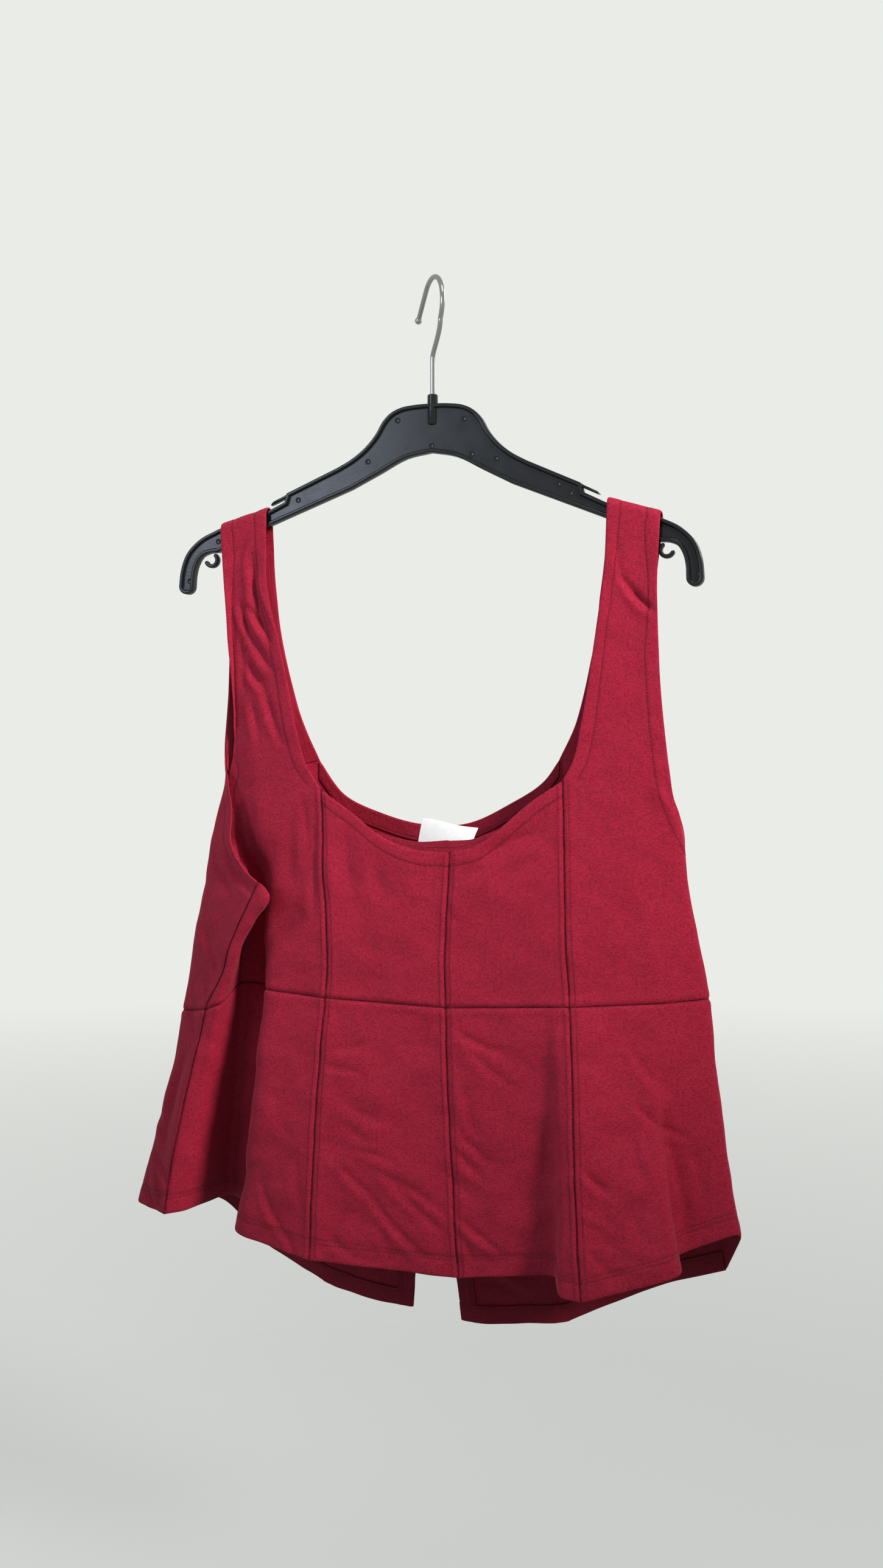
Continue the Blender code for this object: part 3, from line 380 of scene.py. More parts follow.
STRAP_LENGTH, CHEST_LENGTH, RIB_LENGTH, PEPLUM_LENGTH = 215.0, 85.0, 100.0, 225.0
STRAP_LEVELS = levels_between(0.0, 1.0, STRAP_LENGTH, False, False)[:-1]
BODY_LEVELS = np.concatenate([levels_between(1.0, 2.0, CHEST_LENGTH, True, False)[:-1],
                              levels_between(2.0, 3.0, RIB_LENGTH, False, True)])
SIDE_LEVELS = np.concatenate([STRAP_LEVELS, BODY_LEVELS])
PEPLUM_LEVELS = levels_between(3.0, 4.0, PEPLUM_LENGTH, True, True)
OVER_HANGER = np.radians(np.linspace(0.0, 82.0, 9))
STRAP_BEND = 6.2
print("rows: strap", len(STRAP_LEVELS), "body", len(BODY_LEVELS), "peplum", len(PEPLUM_LEVELS))

# %% [markdown]
# Panels. A side panel of the bodice carries its half strap, which goes up and over the hanger as
# a quarter of a small tube. A centre panel is a patch held between four edges: the neckline, the
# waist and its two seams. A peplum panel runs from the waist to the hem.

# %% Panel grids
def grid_normals(points):
    """Cross product of the steps down and along the grid."""
    return unit(np.cross(np.gradient(points, axis=0), np.gradient(points, axis=1)))


def side_panel(armhole, seam, lines, side):
    """Side panel with its strap. side is -1 at the back and 1 at the front."""
    edge = np.where((SIDE_LEVELS <= 2.0)[:, None], line(armhole, np.minimum(SIDE_LEVELS, 2.0)),
                    line(seam, np.maximum(SIDE_LEVELS, 2.0)))
    stations = np.stack([edge] + [line(name, SIDE_LEVELS) for name in lines], axis=1)
    rows = dense_rows(stations)
    panel = pick(rows, even_places(rows))
    arc = np.repeat(panel[:1], len(OVER_HANGER), axis=0)
    arc[:, :, 1] = side * STRAP_BEND * np.sin(OVER_HANGER)[:, None]
    arc[:, :, 2] += STRAP_BEND * np.cos(OVER_HANGER)[:, None]
    points = np.concatenate([arc, panel])
    normals = grid_normals(points)
    normals[0, :, 1] = 0.0
    normals[0] = unit(normals[0])
    return {"points": points, "normals": normals}


def centre_panel(left_line, right_line, scoop, waist_lines, cells):
    """Coons patch: the mean of the two ruled surfaces less the bilinear one through the corners."""
    left, right = line(left_line, BODY_LEVELS), line(right_line, BODY_LEVELS)
    waist = dense_rows(np.array([line(name, np.array([3.0]))[0] for name in waist_lines])[None])
    share = even_places(waist) / FINE
    ends = np.concatenate([[0], np.cumsum(cells)]) / sum(cells)
    u = np.interp(share, np.arange(len(ends)), ends)
    top, bottom = along_curve(scoop, u), pick(waist, share * FINE)[0]
    v = np.interp(BODY_LEVELS, BODY_KNOTS, np.linspace(0, 1, len(BODY_KNOTS)))[:, None, None]
    u = u[None, :, None]
    corners = ((1 - v) * ((1 - u) * top[0] + u * top[-1])
               + v * ((1 - u) * bottom[0] + u * bottom[-1]))
    points = ((1 - v) * top[None] + v * bottom[None]
              + (1 - u) * left[:, None] + u * right[:, None] - corners)
    return {"points": points, "normals": grid_normals(points)}


def peplum_panel(names, bow=0.0):
    """From the waist seam to the hem. The hem may hang lower mid way, by 4u(1-u) of the bow."""
    rows = dense_rows(np.stack([line(name, PEPLUM_LEVELS) for name in names], axis=1))
    points = pick(rows, even_places(rows))
    u = np.linspace(0, 1, points.shape[1])[None, :]
    points[..., 2] -= bow * 4 * u * (1 - u) * (PEPLUM_LEVELS[:, None] - 3.0)**2
    return {"points": points, "normals": grid_normals(points)}


FOLD = ["left_turn", "left_gully", "left_tuck", "left_fold", "back_princess_left"]
FLANK = ["right_outline", "flute_back", "flute_fold", "back_princess_right"]
WRAP = ["left_outline", "front_middle_left", "front_low_left", "front_princess_left"]
FLUTE = ["back_centre", "flute_hollow", "flute_ridge", "back_princess_right"]
PANELS = {
    "back_side_left": side_panel("back_armhole_left", "side_left", FOLD, -1),
    "back_side_right": side_panel("back_armhole_right", "side_right", FLANK, -1),
    "front_side_left": side_panel("front_armhole_left", "side_left", WRAP, 1),
    "front_side_right": side_panel("front_armhole_right", "side_right",
                                   ["front_middle_right", "front_princess_right"], 1),
    "back_centre_left": centre_panel("back_princess_left", "back_centre", BACK_SCOOP_LEFT,
                                     ["back_princess_left", "back_centre"], (8,)),
    "back_centre_right": centre_panel("back_centre", "back_princess_right", BACK_SCOOP_RIGHT,
                                      FLUTE, (5, 2, 2)),
    "front_centre": centre_panel("front_princess_left", "front_princess_right", FRONT_SCOOP,
                                 ["front_princess_left", "front_slit_left", "front_slit_right",
                                  "front_princess_right"], (7, 1, 7)),
    "back_peplum_side_left": peplum_panel(["side_left"] + FOLD),
    "back_peplum_centre_left": peplum_panel(["back_princess_left", "back_centre"]),
    "back_peplum_centre_right": peplum_panel(FLUTE),
    "back_peplum_side_right": peplum_panel(["side_right"] + FLANK),
    "front_peplum_side_left": peplum_panel(["side_left"] + WRAP),
    "front_peplum_centre_left": peplum_panel(["front_princess_left", "front_slit_left"], 3.5),
    "front_peplum_centre_right": peplum_panel(["front_slit_right", "front_princess_right"], 3.0),
    "front_peplum_side_right": peplum_panel(["side_right", "front_middle_right",
                                             "front_princess_right"]),
}
for name in ("back_side_right", "back_peplum_side_right", "front_side_left", "front_centre",
             "front_peplum_side_left", "front_peplum_centre_left", "front_peplum_centre_right"):
    PANELS[name]["normals"] = -PANELS[name]["normals"]
print("points in all panels:", sum(p["points"][..., 0].size for p in PANELS.values()))

# %% [markdown]
# Where two panels are sewn, both must dip together, so their directions are averaged along the
# seam. Otherwise a crack opens on one side and the edges cross on the other.

# %% Seams agree
def square_to(vectors, edge):
    """Unit vectors less their part along the edge."""
    along = unit(np.gradient(edge, axis=0))
    return unit(vectors - (vectors * along).sum(-1, keepdims=True) * along)


def agree(first, first_edge, second, second_edge, rows):
    """Shares one set of directions along a seam that runs down two panels."""
    a, b = PANELS[first], PANELS[second]
    mean = square_to(a["normals"][-rows:, first_edge] + b["normals"][-rows:, second_edge],
                     a["points"][-rows:, first_edge])
    a["normals"][-rows:, first_edge] = mean
    b["normals"][-rows:, second_edge] = mean


BODY, RIB, PEPLUM = len(BODY_LEVELS), int((BODY_LEVELS >= 2.0).sum()), len(PEPLUM_LEVELS)
for kind, rows, arm in (("", BODY, RIB), ("peplum_", PEPLUM, PEPLUM)):
    back, front = "back_" + kind, "front_" + kind
    middle_left, middle_right = (front + "centre_left", front + "centre_right") if kind else (
        "front_centre", "front_centre")
    agree(back + "side_left", -1, back + "centre_left", 0, rows)
    agree(back + "centre_left", -1, back + "centre_right", 0, rows)
    agree(back + "centre_right", -1, back + "side_right", -1, rows)
    agree(front + "side_left", -1, middle_left, 0, rows)
    agree(middle_right, -1, front + "side_right", -1, rows)
    agree(back + "side_left", 0, front + "side_left", 0, arm)
    agree(back + "side_right", 0, front + "side_right", 0, arm)

# %% [markdown]
# Creases. Each is a soft trough along a short bowed line on one face of the garment, with a low
# ridge on one side of it. A row gives the two ends (x and z), the half width, the depth and the
# bow of its middle, all in millimetres; a negative depth makes a ridge. Those on the back come
# from the picture; the front has a few of its own.

# %% Creases
CREASES = {     # x and z of both ends, half width, depth, bow
    "back": [
        # left strap
        (-152, -212, -143, -268, 3.2, 1.6, 1), (-154, -254, -133, -282, 2.8, 1.7, -1),
        (-162, -250, -150, -281, 2.8, 1.5, 1), (-149, -281, -132, -304, 3.0, 1.2, 1),
        (-145, -230, -128, -272, 2.8, -0.8, 1), (-165, -213, -156, -198, 2.6, 1.0, 0),
        (-155, -299, -141, -317, 2.8, 1.3, 1), (-140, -316, -122, -364, 3.0, 1.1, 1),
        (-151, -330, -144, -360, 3.0, 0.8, 0), (-160, -275, -157, -322, 3.4, 0.8, 1),
        # right strap
        (153, -241, 178, -268, 2.4, 1.6, 1), (158, -252, 170, -266, 2.4, 0.8, 0),
        (150, -213, 152, -238, 3.0, 0.5, 1), (185, -395, 193, -412, 4.0, 0.8, 0),
        # bodice
        (-90, -413, -90, -496, 3.4, 0.8, 1), (-101, -413, -97, -466, 4.0, 0.8, -1),
        (-112, -425, -112, -470, 6.0, 0.6, 1), (-64, -436, -56, -482, 9.0, 1.3, 3),
        (-40, -448, -30, -486, 7.0, 0.7, 2), (50, -452, 86, -434, 6.0, 1.2, -2),
        (60, -470, 92, -455, 6.0, 0.6, -3), (21, -487, 28, -501, 2.6, 0.7, 1),
        (30, -466, 58, -458, 5.0, 0.5, 1), (-58, -520, -20, -528, 6.0, 0.3, 2),
        # left half of the peplum
        (-72, -603, -42, -597, 2.8, 0.7, 1), (-73, -616, -47, -619, 2.8, 0.6, -1),
        (-60, -640, -20, -655, 4.0, 0.5, 3), (-59, -689, -35, -709, 2.8, 0.9, 1),
        (-34, -711, 10, -752, 2.8, 1.1, 2), (-24, -692, 22, -732, 3.0, 0.8, 1),
        (-18, -695, 29, -722, 2.8, 0.7, -1), (-27, -728, -15, -759, 2.8, 0.6, 1),
        (-56, -661, -36, -670, 2.6, 0.6, 1), (-72, -757, -56, -730, 3.0, 1.0, 1),
        (-66, -742, -40, -757, 2.8, 0.7, 2), (-58, -757, -25, -758, 2.6, 0.5, 1),
        (-47, -676, -12, -688, 3.0, 0.6, -2),
        # right half of the peplum, up to the flute
        (31, -583, 68, -598, 3.0, 0.8, 2), (40, -592, 76, -622, 3.6, 0.6, 3),
        (36, -660, 58, -678, 3.0, 0.8, 1), (33, -674, 58, -694, 3.0, 0.7, 1),
        (36, -721, 67, -744, 2.6, 1.2, 1), (36, -730, 49, -753, 2.8, 0.7, 1),
        (39, -628, 48, -661, 3.2, 0.6, 1), (26, -690, 46, -706, 2.8, 0.6, 1),
        # flute and right side
        (163, -590, 196, -629, 2.6, 0.8, 2), (171, -605, 200, -640, 2.8, 0.4, 2),
        (170, -633, 184, -646, 2.4, 1.1, 0), (184, -646, 201, -658, 2.4, 0.9, 1),
        (135, -677, 154, -693, 2.4, 1.4, 1), (174, -657, 185, -688, 2.6, -0.8, 1),
        (187, -648, 204, -738, 2.6, 0.9, -2), (207, -665, 210, -682, 2.4, 0.5, 0),
        (213, -688, 214, -714, 2.4, 0.5, 0), (137, -702, 150, -710, 2.4, 0.8, 1),
        (137, -715, 154, -723, 2.4, 0.7, -1), (143, -725, 161, -727, 2.4, 0.6, 1),
        (148, -700, 156, -716, 2.6, 0.6, 1), (164, -737, 191, -740, 2.8, 0.5, 1),
        (142, -732, 160, -748, 3.0, 0.8, 2), (168, -700, 180, -726, 3.0, 0.5, 1),
        # beside the deep fold
        (-126, -710, -103, -747, 2.8, 0.8, 2), (-103, -743, -90, -763, 2.6, 0.8, 1),
        (-118, -640, -104, -672, 4.0, 0.4, 1), (-96, -690, -90, -722, 3.4, 0.5, 1),
    ],
    "flap": [
        (-208, -621, -225, -686, 4.0, 1.4, 2), (-196, -640, -202, -700, 4.0, 1.1, 1),
        (-238, -700, -210, -725, 3.0, 1.3, -1), (-246, -728, -228, -745, 2.6, 1.4, 1),
        (-232, -712, -222, -742, 3.0, 1.0, 1), (-216, -724, -214, -744, 2.6, 1.0, 0),
        (-235, -668, -222, -690, 4.0, 0.8, 1), (-168, -454, -154, -475, 4.0, 1.2, 1),
        (-193, -503, -173, -548, 4.5, 1.0, 2), (-154, -470, -138, -483, 2.4, 1.2, 0),
        (-182, -462, -165, -486, 4.0, 0.9, -1), (-207, -575, -196, -600, 4.0, 0.9, 0),
        (-186, -560, -178, -590, 3.5, 0.9, 0),
    ],
    "front": [
        (-60, -470, -40, -505, 6.0, 1.3, 2), (45, -468, 66, -500, 6.0, 1.2, -2),
        (-92, -450, -96, -520, 4.5, 1.0, 2), (84, -446, 86, -512, 4.5, 1.0, -2),
        (-150, -420, -132, -470, 6.0, 1.2, 3), (150, -408, 138, -462, 6.0, 1.1, -3),
        (-20, -598, -70, -640, 4.2, 1.1, 4), (10, -600, 56, -655, 4.4, 1.2, -4),
        (-58, -690, -96, -742, 4.0, 1.2, 3), (30, -700, 70, -756, 4.0, 1.2, -3),
        (-80, -770, -50, -800, 3.4, 1.1, 2), (20, -790, 60, -806, 3.4, 1.0, -2),
        (-150, -610, -164, -690, 5.0, 1.4, 4), (120, -600, 132, -690, 6.0, 1.3, -3),
        (110, -720, 128, -776, 4.0, 1.2, 2), (160, -620, 178, -690, 5.0, 1.2, 3),
        (-130, -240, -144, -290, 3.0, 1.1, 2), (142, -250, 160, -300, 3.2, 1.0, 2),
        (-196, -600, -206, -680, 5.0, 1.2, 2), (190, -720, 206, -752, 3.0, 1.0, 1),
    ],
}


def crease_depth(points, creases):
    """Sum of bowed troughs: depth times exp(-|distance / width|^1.5), fading past both ends."""
    x, z = points[..., 0], points[..., 2]
    push = np.zeros_like(x)
    for x0, z0, x1, z1, width, depth, bow in creases:
        dx, dz = x1 - x0, z1 - z0
        length = math.hypot(dx, dz)
        t = ((x - x0) * dx + (z - z0) * dz) / length**2
        off = ((x - x0) * dz - (z - z0) * dx) / length - bow * 4 * t * (1 - t)
        inside = np.clip(t, 0, 1)
        past = np.abs(t - inside) * length
        fade = bell(past, 1.3 * width) * (0.35 + 0.65 * np.sin(np.pi * inside)**0.7)
        push -= depth * fade * np.exp(-np.abs(off / width)**1.5)
        push += 0.5 * depth * fade * bell(off - 2.0 * width, 1.2 * width)
    return push


def drape(points):
    """Low waves that no cloth is free of: a few sines in x and z of uneven length and phase."""
    x, y, z = points[..., 0], points[..., 1], points[..., 2]
    push = np.zeros_like(x)
    for k, (length, height, turn) in enumerate([(83, .50, .4), (61, .42, 1.9), (47, .36, 2.6),
                                                (37, .28, .9), (29, .2, 2.2), (21, .13, 1.2)]):
        phase = 2 * math.pi / length
        push += height * np.sin(phase * (x * math.cos(turn) + z * math.sin(turn) + 0.6 * y)
                                + 1.7 * k + 0.8 * np.sin(phase * 0.6 * (z - x)))
    return push


# %% [markdown]
# Each panel now gets its surface relief: creases, waves, the dip at a seam and the stitched trough
# inside a turned edge. One gain makes all the creases bolder together. The wrap-round panels show
# their outer face on both sides of the garment, so their left part takes the flap's creases and
# the rest the front's. Seam lines and rows of stitches hold shade, which is also painted into the
# cloth's colour as a value of painted shade for each point.

# %% Relief
SEAM_STITCH, CENTRE_STITCH, NECK_STITCH = 4.4, 4.2, 10.4   # from the edge to the row of stitches
HEM_STITCH = (12.4, 15.6)
ROW_SHADE = 0.7
CREASE_GAIN = 1.9
CALM_WIDTH = 14.0
CRUMPLE_DOWN = ([300, 420, 560, 700], [0.6, 0.7, 0.9, 1.25])     # waves grow towards the hem
CRUMPLE_OUT = ([185, 215], [1.0, 0.35])                          # and calm at the outlines
HANGER_TOP, HANGER_REACH = -186.0, 25.0
FLAP_SHARE = 0.38


def distances(points):
    """How far each point lies, over the cloth, from the first and last column and row."""
    across = np.linalg.norm(np.diff(points, axis=1), axis=2)
    down = np.linalg.norm(np.diff(points, axis=0), axis=2)
    left = np.concatenate([np.zeros((len(points), 1)), np.cumsum(across, axis=1)], axis=1)
    top = np.concatenate([np.zeros((1, points.shape[1])), np.cumsum(down, axis=0)])
    return left, left[:, -1:] - left, top, top[-1:] - top


def seam_dip(d):
    """A narrow V at the seam and a slight swell beside it."""
    return -0.95 * bell(d, 1.3) + 0.28 * bell(d - 4.6, 2.6)


def edge_roll(d, at):
    """A turned edge is thicker, and its stitches draw a shallow trough."""
    return (0.22 * (1 - 1 / (1 + np.exp(-(d - at) / 0.8)))
            - 0.32 * bell(d - at, 0.9) - 0.35 * bell(d, 0.9))


def thread_shade(d, at):
    """The needle pulls the knit in, so a row of stitches lies in a faint line of painted shade."""
    return 0.42 * bell(d - at, 0.8)


def sewn_columns(name, rows, strap):
    """For each row, 1 where the first and the last column are sewn and 0 where they are edges."""
    first, last = np.ones((rows, 1)), np.ones((rows, 1))
    if strap:
        first[:rows - RIB + 1] = 0.0     # the armhole
        last[:strap] = 0.0               # the strap's inner edge
    if name == "front_peplum_centre_left":
        last[:] = 0.0
    if name == "front_peplum_centre_right":
        first[:] = 0.0
    return first, last


def creased(name, points):
    """The creases of the face that a panel shows. A steep S curve parts flap and front."""
    if name.startswith("back"):
        return crease_depth(points, CREASES["back"])
    front = crease_depth(points, CREASES["front"])
    if name not in ("front_side_left", "front_peplum_side_left"):
        return front
    share = np.linspace(0, 1, points.shape[1])[None, :]
    flap = 1 / (1 + np.exp((share - FLAP_SHARE) / 0.03))
    return flap * crease_depth(points, CREASES["flap"]) + (1 - flap) * front


def relief(name, panel):
    """Creases move both skins of the grid. Seams and stitched edges dip the outer skin alone."""
    points = panel["points"]
    peplum = "peplum" in name
    strap = 0 if peplum or "side" not in name else len(points) - BODY
    left, right, top, bottom = distances(points)
    sewn_first, sewn_last = sewn_columns(name, len(points), strap)
    both = ((sewn_first, left), (sewn_last, right))
    dip = sum(sewn * seam_dip(d) + (1 - sewn) * edge_roll(d, NECK_STITCH) for sewn, d in both)
    # Painted shade for the knit's colour: 1 on seam lines and the waist seam, less along rows of
    # stitches.
    groove = np.maximum(*(sewn * bell(d, 0.55) for sewn, d in both))
    groove += sum((1 - sewn) * thread_shade(d, NECK_STITCH) for sewn, d in both)
    if name.startswith("back") and "centre" in name:
        groove += ROW_SHADE * (thread_shade(left, SEAM_STITCH) + thread_shade(right, SEAM_STITCH))
    elif "side" in name:
        groove += ROW_SHADE * sewn_last * thread_shade(right, SEAM_STITCH)
    waist = top if peplum else bottom
    dip += seam_dip(waist)
    groove = np.maximum(groove, bell(waist, 0.6))
    if peplum:
        dip += edge_roll(bottom, HEM_STITCH[0]) - 0.3 * bell(bottom - HEM_STITCH[1], 0.8)
        groove += ROW_SHADE * sum(thread_shade(bottom, at) for at in HEM_STITCH)
    elif not strap:
        dip += edge_roll(top, NECK_STITCH)
        groove += thread_shade(top, NECK_STITCH)
    x, z = np.abs(points[..., 0]), points[..., 2]
    calm = np.clip(np.minimum(np.minimum(left, right), bottom) / CALM_WIDTH, 0.25, 1.0)
    over = np.clip((HANGER_TOP - z) / HANGER_REACH, 0.0, 1.0)
    crumpled = np.interp(-z, *CRUMPLE_DOWN) * np.interp(x, *CRUMPLE_OUT)
    push = over * (CREASE_GAIN * creased(name, points) * np.clip(calm + 0.35, 0, 1)
                   + crumpled * drape(points))
    panel["points"] = points + panel["normals"] * push[..., None]
    panel["groove"] = np.minimum(groove, 1.0)
    panel["dip"] = np.maximum(dip, -0.95)
    panel["uv"] = np.stack([left - left[:, -1:] / 2, -top], axis=-1) * MM
    panel["area"] = float((np.linalg.norm(np.cross(np.diff(points, axis=0)[:, :-1],
                                                   np.diff(points, axis=1)[:-1]), axis=2)).sum())
    panel["flat"] = (float(left[:, -1].max()), float(top[-1].max()))


for name, panel in PANELS.items():
    relief(name, panel)
print("cloth in the panels: %.3f m2" % (sum(p["area"] for p in PANELS.values()) * MM**2))

# %% [markdown]
# A shell is the grid's two skins, half a thickness each way, joined round the rim by a strip that
# bulges, so that a cut edge catches the light as a rounded line. Built this way it is closed, its
# faces point outwards, and no modifier is needed.

# %% Shells
KEYS = ("points", "normals", "uv", "groove", "dip")
# INNER_SHADE is the share of the painted seam shade that the inner skin carries.
RIM_BULGE, INNER_SHADE = 0.7, 0.3


def put_mesh(name, vertices, faces, mat, uv=None, groove=None, smooth_angle=50.0):
    """A mesh object at the origin from points in millimetres, with optional UV and painted shade values.
    """
    mesh = bpy.data.meshes.new(name)
    mesh.from_pydata((np.asarray(vertices) * MM).tolist(), [], faces)
    loops = np.zeros(len(mesh.loops), dtype=np.int32)
    mesh.loops.foreach_get("vertex_index", loops)
    if uv is not None:
        layer = mesh.uv_layers.new(name="UVMap")
        layer.data.foreach_set("uv", np.asarray(uv, dtype=np.float32)[loops].ravel())
    if groove is not None:
        mesh.attributes.new("groove", "FLOAT", "POINT").data.foreach_set(
            "value", np.asarray(groove, dtype=np.float32))
    mesh.shade_smooth()
    mesh.set_sharp_from_angle(angle=math.radians(smooth_angle))
    mesh.materials.append(mat)
    obj = put_object(name, mesh)
    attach(obj, "root")
    return obj


def joined(parts):
    """Several vertex and face lists as one."""
    vertices, faces, count = [], [], 0
    for v, f in parts:
        vertices.append(v)
        faces += [[k + count for k in face] for face in f]
        count += len(v)
    return np.concatenate(vertices), faces


def shell(name, panel, thickness, mat, lift=0.0):
    """Two skins at lift plus and minus half the thickness, and a rounded rim between them."""
    points, normals, uv, groove, dip = (panel[key] for key in KEYS)
    facing = np.cross(points[1:, :-1] - points[:-1, :-1], points[:-1, 1:] - points[:-1, :-1])
    if (facing * normals[:-1, :-1]).sum() < 0:
        points, normals, uv, groove, dip = (a[:, ::-1] for a in (points, normals, uv, groove, dip))
    rows, cols = points.shape[:2]
    index = np.arange(rows * cols).reshape(rows, cols)
    a, b = index[:-1, :-1].ravel(), index[:-1, 1:].ravel()
    d, e = index[1:, :-1].ravel(), index[1:, 1:].ravel()
    skin = rows * cols
    rim = np.concatenate([index[0, :-1], index[:-1, -1], index[-1, :0:-1], index[:0:-1, 0]])
    flat_points, flat_normals = points.reshape(-1, 3), normals.reshape(-1, 3)
    away = np.zeros_like(points)
    away[0] += unit(points[0] - points[1])
    away[-1] += unit(points[-1] - points[-2])
    away[:, 0] += unit(points[:, 0] - points[:, 1])
    away[:, -1] += unit(points[:, -1] - points[:, -2])
    away = unit(away.reshape(-1, 3))
    half = thickness / 2
    vertices = np.concatenate([flat_points + flat_normals * (lift + half + dip.reshape(-1, 1)),
                               flat_points + flat_normals * (lift - half),
                               (flat_points + flat_normals * lift + away * half * RIM_BULGE)[rim]])
    middle = 2 * skin + np.arange(len(rim))
    after, middle_after = np.roll(rim, -1), np.roll(middle, -1)
    faces = np.concatenate([
        np.stack([a, d, e, b], axis=1), np.stack([a, b, e, d], axis=1) + skin,
        np.stack([rim, after, middle_after, middle], axis=1),
        np.stack([middle, middle_after, after + skin, rim + skin], axis=1)])
    flat_uv, flat_painted_shade = uv.reshape(-1, 2), groove.ravel()
    return put_mesh(name, vertices, faces.tolist(), mat,
                    uv=np.concatenate([flat_uv, flat_uv, flat_uv[rim]]),
                    groove=np.concatenate([flat_painted_shade, flat_painted_shade * INNER_SHADE,
                                           flat_painted_shade[rim]]))


WALL = 1.2
CLOTH = {}
for name, panel in PANELS.items():
    CLOTH[name] = shell("cloth_" + name, panel, WALL, KNIT_FACE)
    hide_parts(name)
print("shells:", len(CLOTH), "faces:", sum(len(o.data.polygons) for o in CLOTH.values()))

# %% [markdown]
# Turned edges. The knit is folded inwards along the neck, the armholes, the hem and the split, and
# sewn down. Where the inside shows, the turned layer is its own narrow strip, laid just inside
# the panel that it belongs to. Behind the back neckline the strip has rolled up into view.

# %% Strips along an edge
FACING_WALL = 0.9
FACING_LIFT = WALL / 2 + 0.35 + FACING_WALL / 2
EDGE_FIRST = {"top": lambda a: a, "hem": lambda a: a[::-1], "first": lambda a: a.swapaxes(0, 1),
              "last": lambda a: a.swapaxes(0, 1)[::-1]}


def each(move, *grids):
    """One move made on every array of a grid, or of several grids at once."""
    return {key: move(*(grid[key] for grid in grids)) for key in KEYS}


def side_by_side(first, second):
    """Two grids as one, sharing the column where they meet."""
    return each(lambda a, b: np.concatenate([a, b[:, 1:]], axis=1), first, second)


def strap_rows(name, low, high):
    """The rows of a side panel between two levels, below the bend over the hanger."""
    keep = np.concatenate([np.full(len(OVER_HANGER), False),
                           (SIDE_LEVELS >= low) & (SIDE_LEVELS <= high)])
    return each(lambda a: a[keep], PANELS[name])


def band(grid, edge, insets):
    """Rows of a grid at distances in from an edge, each one number or one for each column."""
    grid = each(EDGE_FIRST[edge], grid)
    points = grid["points"]
    columns = np.arange(points.shape[1])
    steps = np.linalg.norm(np.diff(points, axis=0), axis=2)
    run = np.concatenate([np.zeros((1, len(columns))), np.cumsum(steps, axis=0)])
    rows = []
    for inset in insets:
        inset = np.broadcast_to(inset, columns.shape)
        place = np.array([np.interp(inset[c], run[:, c], np.arange(len(points))) for c in columns])
        low = np.minimum(place.astype(int), len(points) - 2)
        part = place - low

        def between(a):
            share = part.reshape(part.shape + (1,) * (a.ndim - 2))
            return a[low, columns] * (1 - share) + a[low + 1, columns] * share

        row = each(between, grid)
        row["points"] += np.minimum(inset, 0.0)[:, None] * unit(points[3] - points[0])
        row["normals"] = unit(row["normals"])
        row["uv"] = np.stack([grid["uv"][0, :, 0], inset * MM], axis=-1)
        row["groove"] *= 0.0
        rows.append(row)
    return each(lambda *found: np.array(found), *rows)


# %% Turned edges
NECK_ROWS = np.array([0.6, 1.2, 2.2, 4.0, 6.5, 9.0, 10.4, 11.6, 13.0])
HEM_ROWS = np.array([0.6, 1.3, 3.0, 6.0, 9.0, 12.4, 15.0])
SLIT_ROWS = np.array([0.6, 1.4, 4.0, 8.0, 11.0, 14.0])
SLIT_START, SLIT_SHORT = 15.3, 19.0
STRAP_TOP, NECK_CORNER = 0.15, 0.99     # levels
NECK_SHOWN = (-28, 56)                  # where the rolled edge shows its stitches
ROLLED_SHARE = 0.45
FACINGS = []
BACK_NECK = side_by_side(PANELS["back_centre_left"], PANELS["back_centre_right"])
HEMS = {"left": side_by_side(PANELS["front_peplum_side_left"], PANELS["front_peplum_centre_left"]),
        "right": side_by_side(PANELS["front_peplum_centre_right"],
                              each(lambda a: a[:, ::-1], PANELS["front_peplum_side_right"]))}


def turned_edge(name, strip):
    """Hangs the strip inside its panel."""
    strip["dip"] = np.zeros_like(strip["dip"])
    facing = shell("turned_" + name, strip, FACING_WALL, KNIT_BACK, lift=-FACING_LIFT)
    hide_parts(name)
    FACINGS.append(facing)


turned_edge("front_neck_facing", band(PANELS["front_centre"], "top", NECK_ROWS))
for side in ("left", "right"):
    turned_edge("front_neck_facing_" + side,
                band(strap_rows("front_side_" + side, STRAP_TOP, NECK_CORNER), "last", NECK_ROWS))
turned_edge("front_armhole_facing_left",
            band(strap_rows("front_side_left", STRAP_TOP, 0.95), "first", NECK_ROWS))
edge_x = BACK_NECK["points"][0, :, 0]
rise = np.interp(edge_x, *np.array(NECK_EDGE_RISE, dtype=float).T)
turned_edge("back_neck_facing",
            band(BACK_NECK, "top", [-rise * t + NECK_ROWS[-1] * (1 - t) for t in np.linspace(1, 0, 10)]))
for side, hem in HEMS.items():
    turned_edge("front_hem_" + side, band(hem, "hem", HEM_ROWS))
for side, edge in (("left", "last"), ("right", "first")):
    panel = PANELS["front_peplum_centre_" + side]
    length = np.linalg.norm(np.diff(panel["points"], axis=0), axis=2).sum(axis=0)
    above_hem = band(panel, "hem", [SLIT_START + share * (length - SLIT_SHORT)
                                    for share in np.linspace(0, 1, 70)])
    turned_edge("front_slit_band_" + side, band(above_hem, edge, SLIT_ROWS))
print("turned edges:", len(FACINGS))
